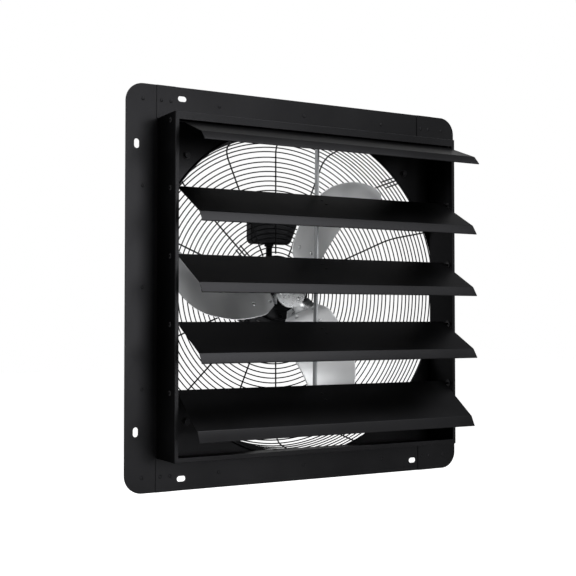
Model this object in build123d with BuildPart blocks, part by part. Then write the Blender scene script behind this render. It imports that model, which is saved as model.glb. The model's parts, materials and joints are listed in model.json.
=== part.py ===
from build123d import *
import os
from math import atan2, cos, degrees, radians, sin, tan

# Shutter exhaust fan for a wall opening, in millimetres.
# X runs right, Y runs into the wall and Z runs up, as seen by someone facing the shutter.
# The origin is the middle of the plane where the flange bears on the wall, so the shutter
# stands on the -Y side and the guard, the motor and the blades on the +Y side.

# Sheet metal
shutter_sheet = 1.2
panel_sheet = 1.5
bend_radius = 1.1
seam_gap = 0.2
overrun = 5.0

# Fan opening, from which the orifice panel, the shutter box and the flange take their widths
blade_radius = 292.0
tip_clearance = 18.6
orifice_radius = blade_radius + tip_clearance
orifice_roll = 4.5
orifice_margin = 11.4
pan_width = 2 * (orifice_radius + orifice_margin)
pan_corner = 24.0
pan_set_back = 7.0

# Flange and shutter box
box_inset = 25.4
box_width = pan_width - 2 * box_inset
box_depth = 78.4
flange_rim = 58.9
flange_size = box_width + 2 * flange_rim
flange_corner = 32.0
side_lip = 6.8
top_lip = 13.3
bottom_lip = 8.3
tab_width = 33.6
tab_joggle = 2.0

# Mounting slots, just inside the middle of the rim that bears on the wall
slot_length = 17.0
slot_width = 10.0
slot_from_corner = 105.9
slot_off_middle = 3.55
slot_near = flange_size / 2 - slot_from_corner
slot_far = (flange_size + pan_width) / 4 - slot_off_middle

# Blind rivets of the flange
rivet_facets = 8
rivet_radius = 1.6
rivet_head_radius = 3.2
rivet_head_height = 1.0
rivet_clearance = 0.05
rivet_flush = 0.2
rivet_row_gap = 6.6
rivet_row = pan_width / 2 + rivet_row_gap
rivet_column_gap = 2.2
rivet_column = pan_width / 2 + rivet_column_gap
rivet_slot_gap = 72.8
rivet_mid = slot_near - rivet_slot_gap
tab_rivet_edge = 6.6
tab_rivet_pitch = 18.0
tab_rivet_outer = box_width / 2 - tab_rivet_edge
tab_rivet_inner = tab_rivet_outer - tab_rivet_pitch

# Louvers and their pivots
louver_count = 5
louver_end_gap = 12.7
louver_length = box_width - 2 * louver_end_gap
top_pivot_drop = 12.6
bottom_pivot_extra = 0.1
top_pivot = box_width / 2 - top_pivot_drop
pivot_pitch = (box_width - top_pivot_drop - bottom_pivot_extra) / louver_count
pivot_set_back = 20.7
louver_sheet = 1.0
louver_lip = 20.0
louver_lip_bend = 27.0
louver_bend_radius = 2.0
louver_overlap = 5.9
louver_blade = pivot_pitch + louver_overlap - louver_lip
louver_hem = 5.0
louver_tail = 4.0
closed_slope = 84.0
bottom_closed_slope = 75.5
top_slope = 20.0
middle_slope = 28.6
bottom_slope = 35.8
louver_slopes = [top_slope] + [middle_slope] * (louver_count - 2) + [bottom_slope]
closed_slopes = [closed_slope] * (louver_count - 1) + [bottom_closed_slope]
master_louver = louver_count // 2

# Pivot pins and bushes
pin_radius = 2.0
pin_fit = 0.08
pin_stub = 3.0
tang_length = 16.0
tang_width = 24.0
tang_sheet = 1.6
bush_radius = 4.5
bush_fit = 0.05
bush_flange_radius = 6.5
bush_flange = 1.5
bush_nose = 1.2

# Tie bar and the cranks that drive it
crank_length = 18.8
crank_middle_angle = -12.3
crank_sheet = 1.5
crank_foot_width = 14.0
crank_foot_start = 14.0
crank_foot_end = 44.0
crank_eye_radius = 5.0
crank_rivet_near = 20.6
crank_rivet_far = 38.0
crank_rivet_radius = 1.6
crank_rivet_head = 3.0
crank_rivet_dome = 0.8
bar_pin_radius = 2.0
bar_pin_head = 3.6
bar_pin_head_height = 1.2
bar_pin_fit = 0.08
bar_open_fit = 0.5
bar_width = 10.5
bar_sheet = 3.0
bar_side_gap = 0.5
bar_end = 4.5

# Wire guard, which stands inside the orifice and ends round the motor's shell
shell_radius = 70.5
guard_reach = 108.9
guard_corner = 30.0
guard_face_inset = 38.6
guard_lean = 11.5
guard_base_gap = 3.8
guard_base = pan_set_back + panel_sheet + guard_base_gap
spoke_count = 16
spoke_wire = 3.0
ring_wire = 2.4
ring_pitch = 9.4
ring_sides = 32
first_ring_gap = 6.7
first_ring = shell_radius + first_ring_gap
spoke_overhang = 3.2
spoke_start = first_ring - spoke_overhang
corner_steps = 5
foot_bolt_gap = 19.0
foot_loop_width = 18.4
foot_leg = 38.5
mount_loop_width = 16.0
mount_bolt_spoke_gap = 13.0
mount_loop_leg = 36.1

# Bolts
bolt_radius = 3.0
bolt_fit = 0.3
bolt_head_radius = 5.8
bolt_head_height = 4.0
bolt_washer_radius = 7.4
bolt_washer = 1.6
bolt_nut_height = 4.5
bolt_tip = 3.0

# Motor
motor_plate = 2.5
ear_radius = 9.0
shell_wall = 3.0
shell_length = 80.0
front_bell_step = 12.5
front_bell_radius = shell_radius - front_bell_step
front_bell_length = 14.5
rear_bell_length = 13.0
bell_round = 5.0
bell_boss_radius = 24.0
bell_boss = 3.0
shaft_radius = 6.35
shaft_fit = 0.05
shaft_nose = 26.0
shaft_tail = 2.5
bearing_wall = 9.65
bearing_radius = shaft_radius + bearing_wall
bearing_length = 10.0
stator_length = 46.0
stator_set_back = 16.0
stator_bore = 36.0
air_gap = 0.7
motor_screw_radius = 2.0
motor_screw_head = 4.0
motor_screw_head_height = 2.6
front_screw_inset = 8.0
front_screw_circle = front_bell_radius - front_screw_inset
plate_bore_edge = 3.0
motor_plate_bore = front_screw_circle - plate_bore_edge
rear_screw_edge = 1.7
screw_count = 4

# Wiring box over the motor
wiring_set_back = 19.4
wiring_depth = 18.0
wiring_gap = 24.0
wiring_bottom = shell_radius + wiring_gap
wiring_height = 57.5
wiring_top = wiring_bottom + wiring_height
wiring_bottom_width = 91.0
wiring_lean = 21.5
wiring_wall = 2.0
wiring_corner = 6.0
nipple_radius = 6.5
nipple_bore = 4.5
nipple_gap = 1.5
gland_radius = 7.0
gland_bore = 4.5
gland_length = 14.0
gland_nut_radius = 8.8
gland_nut = 5.0
cover_screw_inset = 10.0

# Rotor
blade_count = 3
blade_azimuth = 60.0
blade_sheet = 2.0
blade_front = 27.3
root_pitch = 30.0
tip_pitch = 18.0
camber_share = 0.05
# Places along the blade and of its two edges, as shares of the blade's radius.
station_shares = [0.16, 0.205, 0.30, 0.43, 0.56, 0.665, 0.77, 0.825, 0.875, 0.908, 0.928]
rear_edge_shares = [0.10, 0.147, 0.178, 0.192, 0.178, 0.15, 0.085, 0.03, -0.038, -0.11, -0.19]
fore_edge_shares = [-0.10, -0.13, -0.15, -0.155, -0.16, -0.18, -0.235, -0.27, -0.305, -0.305, -0.262]
spider_sheet = 3.0
spider_seat_gap = 0.25
arm_upper_shares = [0.09, 0.115, 0.125, 0.125]
arm_lower_shares = [-0.09, -0.085, -0.08, -0.07]
arm_tip_share = 0.34
spider_set_back = 18.7
spider_depth = blade_front + spider_set_back
hub_wall = 8.15
hub_radius = shaft_radius + hub_wall
hub_length = 24.0
hub_rivet_gap = 8.0
hub_rivet_circle = hub_radius + hub_rivet_gap
hub_rivet_edge = 7.5
hub_flange_radius = hub_rivet_circle + hub_rivet_edge
hub_flange = 4.0
hub_fit = 0.02
hub_rivet_turn = 105.0
spider_disc_edge = 3.0
spider_disc_radius = hub_flange_radius + spider_disc_edge
spider_arm_overlap = 2.0
spider_arm_start = spider_disc_radius - spider_arm_overlap
blade_rivet_radius = 2.4
blade_rivet_head = 4.2
blade_rivet_dome = 1.2
rivet_seat_gap = 0.2
# Rivets of a blade: place along the blade and across it, as shares of the blade's radius.
rivet_along_shares = [0.177, 0.28, 0.184, 0.318]
rivet_across_shares = [0.075, 0.089, -0.034, -0.041]
slope_step_share = 0.001
set_screw_radius = 3.0
set_screw_length = 7.0

# Places that follow from the sizes above
flange_half = flange_size / 2
box_half = box_width / 2
box_inside = box_half - shutter_sheet
flange_back = -panel_sheet
flange_front = flange_back - shutter_sheet
box_mouth = flange_front - box_depth
pivot_y = box_mouth + pivot_set_back
pivot_heights = [top_pivot - pivot_pitch * k for k in range(louver_count)]
pan_back = pan_set_back + panel_sheet
ring_front = guard_reach
corner_start = orifice_radius - guard_face_inset
corner_depth = guard_reach - guard_corner
corner_turn = 90 - guard_lean
corner_end_depth = corner_depth + guard_corner * sin(radians(guard_lean))
corner_end_radius = corner_start + guard_corner * cos(radians(guard_lean))
wall_foot_radius = corner_end_radius + (corner_end_depth - guard_base) * tan(radians(guard_lean))
foot_bolt_radius = wall_foot_radius + foot_bolt_gap
spoke_front = guard_reach - spoke_wire
plate_front = spoke_front - motor_plate
mount_bolt_radius = first_ring + ring_pitch / 2
mount_spoke_start = mount_bolt_radius + mount_bolt_spoke_gap
mount_loop_outer = mount_bolt_radius + mount_loop_leg
shell_front = spoke_front
shell_back = shell_front + shell_length
bell_front = plate_front - front_bell_length
shaft_front = spider_depth - shaft_nose
box_front = shell_front + wiring_set_back
bell_back = shell_back + rear_bell_length

level_slots = [(-slot_near, slot_far), (-slot_near, -slot_far), (slot_near, -slot_far)]
upright_slots = [(x, z) for x in (-slot_far, slot_far) for z in (-slot_near, slot_near)]
tab_rivets = [
    (side * x, level * rivet_row)
    for side in (-1, 1)
    for level in (-1, 1)
    for x in (tab_rivet_outer, tab_rivet_inner)
]
flange_rivets = (
    [(x, level * rivet_row) for level in (-1, 1) for x in (-rivet_mid, 0, rivet_mid)]
    + [(side * rivet_column, z) for side in (-1, 1) for z in (-rivet_mid, 0, rivet_mid)]
    + [(side * rivet_column, level * rivet_row) for side in (-1, 1) for level in (-1, 1)]
)
diagonals = [45 + 90 * k for k in range(4)]

os.makedirs("parts", exist_ok=True)


def keep(piece, name):
    """Label a finished piece and write it."""
    piece.part.label = name
    export_step(piece.part, f"parts/{name}.step")


def facing(depth):
    """The upright plane at a depth, which looks out of the wall: x is X and y is Z."""
    return Plane.XZ.offset(-depth)


def radial(azimuth):
    """The plane through the fan's axis at an azimuth: x is the radius and y is the depth."""
    turn = radians(azimuth)
    return Plane(origin=(0, 0, 0), x_dir=(cos(turn), 0, sin(turn)), z_dir=(-sin(turn), 0, cos(turn)))


def facing_turned(depth, azimuth):
    """The upright plane at a depth with its x turned to an azimuth."""
    turn = radians(azimuth)
    return Plane(origin=(0, depth, 0), x_dir=(cos(turn), 0, sin(turn)), z_dir=(0, -1, 0))


def block(low, high, mode=Mode.ADD):
    """A rectangle between two corners of the sketch in hand."""
    with Locations(((low[0] + high[0]) / 2, (low[1] + high[1]) / 2)):
        Rectangle(abs(high[0] - low[0]), abs(high[1] - low[1]), mode=mode)


def cut_slots():
    """The mounting slots, through whatever the part in hand has there."""
    with BuildSketch(facing(pan_back)) as slots:
        with Locations(*level_slots):
            SlotOverall(slot_length, slot_width)
        with Locations(*upright_slots):
            SlotOverall(slot_length, slot_width, rotation=90)
    extrude(slots.sketch, amount=pan_back - box_mouth + overrun, mode=Mode.SUBTRACT)


def cut_holes(places, radius):
    """Round holes through the flange of the part in hand."""
    with BuildSketch(facing(panel_sheet)) as holes:
        with Locations(*places):
            Circle(radius)
    extrude(holes.sketch, amount=panel_sheet - box_mouth, mode=Mode.SUBTRACT)


# Rim of the orifice panel, which bears on the wall. It is one sheet with the pan, and is kept
# apart from it so that the space behind the rim, where the wall's edge lies, stays open.
with BuildPart() as panel_rim:
    with BuildSketch(facing(0)):
        RectangleRounded(flange_size, flange_size, flange_corner)
        RectangleRounded(pan_width, pan_width, pan_corner, mode=Mode.SUBTRACT)
    extrude(amount=panel_sheet)
    cut_slots()
    cut_holes(tab_rivets + flange_rivets, rivet_radius + rivet_clearance)
keep(panel_rim, "panel_rim")

# Orifice panel: a shallow pan inside the rim, whose opening is rolled forward
with BuildPart() as orifice_panel:
    with BuildSketch(facing(pan_back)):
        pan_clear = pan_width - 2 * panel_sheet
        RectangleRounded(pan_width, pan_width, pan_corner)
        RectangleRounded(pan_clear, pan_clear, pan_corner - panel_sheet, mode=Mode.SUBTRACT)
    extrude(amount=pan_back + panel_sheet)
    with BuildSketch(facing(pan_back)):
        RectangleRounded(pan_width, pan_width, pan_corner)
        Circle(orifice_radius + orifice_roll, mode=Mode.SUBTRACT)
    extrude(amount=panel_sheet)
    with BuildSketch(Plane.XY):
        roll_inner = orifice_roll - panel_sheet
        roll_centre = (orifice_radius + orifice_roll, pan_back - orifice_roll)
        with BuildLine():
            CenterArc(roll_centre, orifice_roll, 90, 90)
            Line((orifice_radius, roll_centre[1]), (orifice_radius + panel_sheet, roll_centre[1]))
            CenterArc(roll_centre, roll_inner, 90, 90)
            Line((roll_centre[0], pan_set_back), (roll_centre[0], pan_back))
        make_face()
    revolve(axis=Axis.Y)
    with BuildSketch(facing(pan_back)):
        with PolarLocations(foot_bolt_radius, len(diagonals), start_angle=diagonals[0]):
            Circle(bolt_radius + bolt_fit)
    extrude(amount=panel_sheet, mode=Mode.SUBTRACT)
keep(orifice_panel, "orifice_panel")


def round_front_edge(part, axis, out):
    """Rounds the bend between a box wall and its front lip."""
    corners = part.edges().filter_by(axis).filter_by(
        lambda edge: abs(edge.center().Y - box_mouth) < bend_radius / 2
        and abs(out(edge.center()) - box_half) < bend_radius / 2
    )
    fillet(corners, radius=bend_radius)


def side_frame(side):
    """One upright side of the shutter: flange strip, box wall, front lip and corner tabs."""
    with BuildPart() as frame:
        with BuildSketch(Plane.XY.offset(-box_half)):
            block((side * box_inside, box_mouth), (side * box_half, flange_back))
        extrude(amount=box_width)
        with BuildSketch(facing(box_mouth + shutter_sheet)):
            lip_inside = side * (box_half - side_lip)
            block((side * box_half, bottom_lip - box_half), (lip_inside, box_half - top_lip))
        extrude(amount=shutter_sheet)
        round_front_edge(frame, Axis.Z, lambda centre: abs(centre.X))
        with BuildSketch(facing(flange_back)):
            RectangleRounded(flange_size, flange_size, flange_corner)
            block((side * box_inside, -flange_half), (side * flange_half, flange_half), Mode.INTERSECT)
        extrude(amount=shutter_sheet)
        with BuildSketch(facing(flange_front)):
            for level in (-1, 1):
                block(
                    (side * (box_half - tab_width), level * (box_half + seam_gap)),
                    (side * (box_half + tab_joggle), level * flange_half),
                )
        extrude(amount=shutter_sheet)
        cut_slots()
        cut_holes(tab_rivets + flange_rivets, rivet_radius + rivet_clearance)
        with BuildSketch(Plane.YZ.offset(side * (box_half + overrun))):
            with Locations(*[(pivot_y, z) for z in pivot_heights]):
                Circle(bush_radius + bush_fit)
        extrude(amount=-side * 2 * overrun, mode=Mode.SUBTRACT)
    return frame


for side, name in ((-1, "shutter_side_left"), (1, "shutter_side_right")):
    keep(side_frame(side), name)


def level_channel(level, lip):
    """The top or the bottom of the shutter: flange strip, box wall and front lip."""
    with BuildPart() as channel:
        with BuildSketch(Plane.YZ.offset(-box_inside + seam_gap)):
            block((box_mouth, level * box_half), (flange_back, level * box_inside))
            block((box_mouth, level * box_half), (box_mouth + shutter_sheet, level * (box_half - lip)))
            block((flange_front, level * box_inside), (flange_back, level * flange_half))
        extrude(amount=2 * (box_inside - seam_gap))
        round_front_edge(channel, Axis.X, lambda centre: abs(centre.Z))
        cut_slots()
        cut_holes(tab_rivets + flange_rivets, rivet_radius + rivet_clearance)
    return channel


keep(level_channel(1, top_lip), "shutter_top")
keep(level_channel(-1, bottom_lip), "shutter_bottom")


def rivet_set(places, seat):
    """Blind rivets with low heads on a seat, each flush with the back of the rim."""
    with BuildPart() as rivets:
        with BuildSketch(facing(seat)):
            with Locations(*places):
                RegularPolygon(rivet_head_radius, rivet_facets)
        extrude(amount=rivet_head_height, taper=35)
        with BuildSketch(facing(seat)):
            with Locations(*places):
                RegularPolygon(rivet_radius, rivet_facets)
        extrude(amount=seat + rivet_flush)
    return rivets


keep(rivet_set(tab_rivets, flange_front - shutter_sheet), "tab_rivets")
keep(rivet_set(flange_rivets, flange_front), "flange_rivets")


# Bushes of the pivot pins, each with a flange inside its wall and a nose outside
with BuildPart() as pivot_bushes:
    bush_places = [(pivot_y, z) for z in pivot_heights]
    for side in (-1, 1):
        with BuildSketch(Plane.YZ.offset(side * box_inside)):
            with Locations(*bush_places):
                Circle(bush_flange_radius)
        extrude(amount=-side * bush_flange)
        with BuildSketch(Plane.YZ.offset(side * box_inside)):
            with Locations(*bush_places):
                Circle(bush_radius)
        extrude(amount=side * (shutter_sheet + bush_nose))
        with BuildSketch(Plane.YZ.offset(side * (box_inside - bush_flange))):
            with Locations(*bush_places):
                Circle(pin_radius + pin_fit)
        extrude(amount=side * (bush_flange + shutter_sheet + bush_nose), mode=Mode.SUBTRACT)
keep(pivot_bushes, "pivot_bushes")


def swing(index):
    """Half of the angle that a louver turns between its rest and its closed pose."""
    return (closed_slopes[index] - louver_slopes[index]) / 2


bar_chord = 2 * crank_length * sin(radians(swing(master_louver)))


def crank_reach(index):
    """Length of a louver's crank, which moves the tie bar as far as every other crank does."""
    return bar_chord / (2 * sin(radians(swing(index))))


def crank_pin(index):
    """Where a crank's pin stands at rest, as depth and height from its louver's pivot."""
    angle = radians(crank_middle_angle - swing(index))
    return crank_reach(index) * cos(angle), crank_reach(index) * sin(angle)


def bar_drift(index):
    """How far a crank's pin wanders off the tie bar's path, amid its travel."""
    bow = [crank_reach(k) * (1 - cos(radians(swing(k)))) for k in (index, master_louver)]
    return bow[0] - bow[1]


def louver_plane(index, x):
    """The plane across a louver at x: its x runs down the blade and its y out of the upper face."""
    slope = radians(louver_slopes[index])
    return Plane(
        origin=(x, pivot_y, pivot_heights[index]),
        x_dir=(0, -cos(slope), -sin(slope)),
        z_dir=(1, 0, 0),
    )


def louver_side(index):
    """Whether y of the louver's plane points out of the upper face, as 1 or -1."""
    return 1 if louver_plane(index, 0).y_dir.Z > 0 else -1


def louver_blade_part(index):
    """The blade of a louver: a flat sheet, a round bend to its lip and a hem folded behind the lip."""
    up = louver_side(index)
    bend = radians(louver_lip_bend)
    low = pin_radius
    high = low + louver_sheet
    lip = Vector(cos(bend), -sin(bend))
    out = Vector(sin(bend), cos(bend))
    start = louver_blade - louver_bend_radius * tan(bend / 2)
    centre = Vector(start, low - louver_bend_radius)
    middle = Vector(sin(bend / 2), cos(bend / 2))
    tip = Vector(louver_blade, low) + lip * louver_lip
    fold = tip - lip * louver_sheet
    hem = tip - lip * louver_hem

    def bend_arc(radius):
        """One skin of the bend, from the lip back to the blade."""
        points = [centre + out * radius, centre + middle * radius, centre + Vector(0, radius)]
        return [(point.X, up * point.Y) for point in points]

    def fold_point(point):
        """A point of the lip on the side of the sheet that the louver has upwards."""
        return (point.X, up * point.Y)

    outer, inner = bend_arc(louver_bend_radius + louver_sheet), bend_arc(louver_bend_radius)
    end = [fold_point(p) for p in (fold - out * louver_sheet, tip, fold + out * louver_sheet)]
    with BuildPart() as blade:
        with BuildSketch(louver_plane(index, -louver_length / 2)):
            with BuildLine():
                ThreePointArc(*inner)
                Polyline(inner[-1], (-louver_tail, up * low), (-louver_tail, up * high), outer[-1])
                ThreePointArc(*outer)
                Line(outer[0], end[-1])
                ThreePointArc(*end)
                Polyline(end[0], fold_point(hem - out * louver_sheet), fold_point(hem), inner[0])
            make_face()
        extrude(amount=louver_length)
        with BuildSketch(louver_hole_plane(index)):
            with Locations(*crank_rivet_places(index)):
                Circle(crank_rivet_radius + rivet_clearance)
        extrude(amount=2 * high, both=True, mode=Mode.SUBTRACT)
    return blade


def louver_hole_plane(index):
    """The plane of a louver's blade: its x runs down the blade and its y along the louver."""
    slope = radians(louver_slopes[index])
    return Plane(
        origin=(0, pivot_y, pivot_heights[index]),
        x_dir=(0, -cos(slope), -sin(slope)),
        z_dir=(0, -sin(slope), cos(slope)),
    )


def crank_rivet_places(index):
    """The two rivets of a crank on its louver's blade."""
    across = louver_hole_plane(index).y_dir.X
    return [(place, -across * crank_foot_width / 2) for place in (crank_rivet_near, crank_rivet_far)]


def louver_pins(index):
    """The two pivot pins of a louver, each welded to a tang under the blade."""
    up = louver_side(index)
    with BuildPart() as pins:
        for side in (-1, 1):
            start = side * (louver_length / 2 - tang_width)
            with BuildSketch(louver_plane(index, start)):
                block((-louver_tail, up * pin_radius), (tang_length, up * (pin_radius - tang_sheet)))
            extrude(amount=side * (tang_width - overrun))
            with BuildSketch(louver_plane(index, start)):
                Circle(pin_radius)
            extrude(amount=side * (box_half + pin_stub) - start)
    return pins


def louver_crank(index):
    """The crank of a louver: a foot under the blade, an ear down to the tie bar and the bar's pin."""
    up = louver_side(index)
    depth, height = crank_pin(index)
    slope = radians(louver_slopes[index])
    eye_x = -depth * cos(slope) - height * sin(slope)
    eye_y = up * (-depth * sin(slope) + height * cos(slope))
    foot_top = up * pin_radius
    foot_low = up * (pin_radius - crank_sheet)
    with BuildPart() as crank:
        with BuildSketch(louver_plane(index, -crank_foot_width)):
            block((crank_foot_start, foot_top), (crank_foot_end, foot_low))
        extrude(amount=crank_foot_width)
        with BuildSketch(louver_hole_plane(index)):
            with Locations(*crank_rivet_places(index)):
                Circle(crank_rivet_radius + rivet_clearance)
        extrude(amount=2 * pin_radius, both=True, mode=Mode.SUBTRACT)
        with BuildSketch(louver_plane(index, -crank_sheet)):
            with BuildLine():
                Polyline(
                    (crank_foot_start, foot_top),
                    (crank_foot_end, foot_top),
                    (crank_foot_end, foot_low),
                    (eye_x + crank_eye_radius / 2, eye_y - up * crank_eye_radius * cos(slope)),
                    (eye_x - crank_eye_radius / 2, eye_y),
                    (eye_x, eye_y + up * crank_eye_radius / 2),
                    close=True,
                )
            make_face()
            with Locations((eye_x, eye_y)):
                Circle(crank_eye_radius)
        extrude(amount=crank_sheet)
        with BuildSketch(louver_plane(index, -crank_sheet)):
            with Locations((eye_x, eye_y)):
                Circle(bar_pin_radius)
        extrude(amount=crank_sheet + 2 * bar_side_gap + bar_sheet)
        with BuildSketch(louver_plane(index, 2 * bar_side_gap + bar_sheet)):
            with Locations((eye_x, eye_y)):
                Circle(bar_pin_head)
        extrude(amount=bar_pin_head_height)
    return crank


def louver_rivets(index):
    """The two rivets that hold a crank to its louver, with low heads on the upper face."""
    plane = louver_hole_plane(index)
    high = pin_radius + louver_sheet
    low = pin_radius - crank_sheet
    with BuildPart() as rivets:
        with BuildSketch(plane.offset(low)):
            with Locations(*crank_rivet_places(index)):
                RegularPolygon(crank_rivet_radius, rivet_facets)
        extrude(amount=high - low)
        with BuildSketch(plane.offset(high)):
            with Locations(*crank_rivet_places(index)):
                RegularPolygon(crank_rivet_head, rivet_facets)
        extrude(amount=crank_rivet_dome, taper=35)
    return rivets


for index in range(louver_count):
    number = index + 1
    keep(louver_blade_part(index), f"louver_{number}")
    keep(louver_pins(index), f"louver_{number}_pins")
    keep(louver_crank(index), f"louver_{number}_crank")
    keep(louver_rivets(index), f"louver_{number}_rivets")

# Tie bar: one strip behind the louvers, through the pins of all the cranks
bar_pins = [
    (pivot_y + crank_pin(index)[0], pivot_heights[index] + crank_pin(index)[1])
    for index in range(louver_count)
]
with BuildPart() as tie_bar:
    lean = atan2(bar_pins[0][1] - bar_pins[-1][1], bar_pins[0][0] - bar_pins[-1][0])
    middle = ((bar_pins[0][0] + bar_pins[-1][0]) / 2, (bar_pins[0][1] + bar_pins[-1][1]) / 2)
    span = (bar_pins[0][1] - bar_pins[-1][1]) / sin(lean)
    with BuildSketch(Plane.YZ.offset(bar_side_gap)):
        with Locations(middle):
            Rectangle(span + 2 * bar_end, bar_width, rotation=degrees(lean))
        for index, (depth, height) in enumerate(bar_pins):
            fit = bar_pin_fit if index == master_louver else bar_open_fit
            shift = bar_drift(index) / 2
            turn = radians(crank_middle_angle)
            with Locations((depth + shift * cos(turn), height + shift * sin(turn))):
                Circle(bar_pin_radius + fit, mode=Mode.SUBTRACT)
    extrude(amount=bar_sheet)
keep(tie_bar, "tie_bar")


# Wire guard: its rings lie on a flat face, a rolled corner and a wall that spreads to its foot
corner_angles = [corner_turn * k / corner_steps for k in range(corner_steps + 1)]


def wall_radius(depth, inset=0):
    """Radius of the guard's wall at a depth, moved square to the wall by an inset."""
    lean = radians(guard_lean)
    return corner_end_radius + (corner_end_depth - depth) * tan(lean) - inset / cos(lean)


def guard_line(inset):
    """The guard's outline in radius and depth, moved inwards by an inset, without its inner end."""
    reach = guard_corner - inset
    corner = [
        (corner_start + reach * sin(radians(a)), corner_depth + reach * cos(radians(a)))
        for a in corner_angles
    ]
    foot = guard_base - ring_wire
    return corner + [(wall_radius(foot, inset), foot)]


with BuildPart() as guard_spokes:
    for spoke in range(spoke_count):
        azimuth = spoke * 360 / spoke_count
        start = mount_spoke_start if azimuth in diagonals else spoke_start
        outer = [(start, guard_reach)] + guard_line(0)
        inner = [(start, spoke_front)] + guard_line(spoke_wire)
        with BuildSketch(radial(azimuth)):
            with BuildLine():
                Polyline(*outer, *reversed(inner), close=True)
            make_face()
        extrude(amount=spoke_wire / 2, both=True)
keep(guard_spokes, "guard_spokes")


def flat_ring(inside, depth, width, length):
    """A many-sided ring from its clear radius, its rear depth and its section."""
    with BuildSketch(facing(depth)) as ring_face:
        RegularPolygon(inside + width, ring_sides, major_radius=False, rotation=180 / ring_sides)
        RegularPolygon(
            inside, ring_sides, major_radius=False, rotation=180 / ring_sides, mode=Mode.SUBTRACT
        )
    extrude(ring_face.sketch, amount=length)


with BuildPart() as guard_face_rings:
    ring = 0
    while first_ring + ring * ring_pitch < corner_start:
        inside = first_ring + ring * ring_pitch - ring_wire / 2
        flat_ring(inside, ring_front + ring_wire, ring_wire, ring_wire)
        ring += 1
keep(guard_face_rings, "guard_face_rings")


def corner_ring(angle):
    """A many-sided ring on the guard's rolled corner, square to the corner's surface."""
    chord = guard_corner * cos(radians(corner_turn / corner_steps / 2))
    seat = chord + ring_wire / 2
    radius = corner_start + seat * sin(radians(angle))
    depth = corner_depth + seat * cos(radians(angle))
    turns = [360 / ring_sides * (k + 0.5) for k in range(ring_sides)]
    tip = radius / cos(radians(180 / ring_sides))
    with BuildLine(facing(depth)) as path:
        Polyline(
            (radius, 0),
            *[(tip * cos(radians(a)), tip * sin(radians(a))) for a in turns],
            close=True,
        )
    with BuildSketch(Plane(origin=(radius, depth, 0), x_dir=(1, 0, 0), z_dir=(0, 0, 1))) as section:
        Rectangle(ring_wire, ring_wire, rotation=90 - angle)
    sweep(section.sketch, path=path.line, transition=Transition.RIGHT)


with BuildPart() as guard_wall_rings:
    for step in range(corner_steps):
        corner_ring(corner_turn * (step + 0.5) / corner_steps)
    ring_step = ring_pitch * cos(radians(guard_lean))
    depth = corner_end_depth - ring_step / 2
    while depth > guard_base:
        ring_rear = depth + ring_wire / 2
        flat_ring(wall_radius(depth - ring_wire / 2), ring_rear, ring_wire, ring_wire)
        depth -= ring_step
keep(guard_wall_rings, "guard_wall_rings")

# Feet of the guard: a loop behind the panel at each diagonal, and two legs up the guard's wall
foot_inner = wall_radius(pan_back, spoke_wire)
foot_top = pan_back + foot_leg
with BuildPart() as guard_feet:
    for azimuth in diagonals:
        with BuildSketch(facing_turned(pan_back + spoke_wire, azimuth)):
            half = foot_loop_width / 2
            clear = half - spoke_wire
            block((foot_inner, -half), (foot_bolt_radius, half))
            with Locations((foot_bolt_radius, 0)):
                Circle(half)
            block((foot_inner - overrun, -clear), (foot_bolt_radius, clear), Mode.SUBTRACT)
            with Locations((foot_bolt_radius, 0)):
                Circle(clear, mode=Mode.SUBTRACT)
        extrude(amount=spoke_wire)
        for side in (-1, 1):
            with BuildSketch(radial(azimuth).offset(side * (foot_loop_width - spoke_wire) / 2)):
                with BuildLine():
                    Polyline(
                        (foot_inner, pan_back),
                        (wall_radius(pan_back), pan_back),
                        (wall_radius(foot_top), foot_top),
                        (wall_radius(foot_top, spoke_wire), foot_top),
                        close=True,
                    )
                make_face()
            extrude(amount=spoke_wire / 2, both=True)
keep(guard_feet, "guard_feet")

# Loops of the guard round the motor's mounting bolts
with BuildPart() as guard_mount_loops:
    for azimuth in diagonals:
        with BuildSketch(facing_turned(guard_reach, azimuth)):
            half = mount_loop_width / 2
            clear = half - spoke_wire
            block((mount_bolt_radius, -half), (mount_loop_outer, half))
            with Locations((mount_bolt_radius, 0)):
                Circle(half)
            block((mount_bolt_radius, -clear), (mount_loop_outer + overrun, clear), Mode.SUBTRACT)
            with Locations((mount_bolt_radius, 0)):
                Circle(clear, mode=Mode.SUBTRACT)
        extrude(amount=spoke_wire)
keep(guard_mount_loops, "guard_mount_loops")


def bolt_set(circle, front, back):
    """Bolts at the diagonals: a head on a washer in front, and a nut on a washer behind."""
    with BuildPart() as bolts:
        with BuildSketch(facing(back + bolt_washer + bolt_nut_height + bolt_tip)):
            with PolarLocations(circle, len(diagonals), start_angle=diagonals[0]):
                RegularPolygon(bolt_radius, rivet_facets)
        extrude(amount=back - front + 2 * bolt_washer + bolt_nut_height + bolt_tip)
        for seat, outward in ((front, 1), (back, -1)):
            with BuildSketch(facing(seat)):
                with PolarLocations(circle, len(diagonals), start_angle=diagonals[0]):
                    RegularPolygon(bolt_washer_radius, 2 * rivet_facets)
            extrude(amount=outward * bolt_washer)
        with BuildSketch(facing(front - bolt_washer)):
            with PolarLocations(circle, len(diagonals), start_angle=diagonals[0]):
                RegularPolygon(bolt_head_radius, 6)
        extrude(amount=bolt_head_height)
        with BuildSketch(facing(back + bolt_washer)):
            with PolarLocations(circle, len(diagonals), start_angle=diagonals[0]):
                RegularPolygon(bolt_head_radius, 6)
        extrude(amount=-bolt_nut_height)
    return bolts


keep(bolt_set(foot_bolt_radius, pan_set_back, pan_back + spoke_wire), "guard_bolts")
keep(bolt_set(mount_bolt_radius, plate_front, guard_reach + ring_wire), "motor_mount_bolts")

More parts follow.
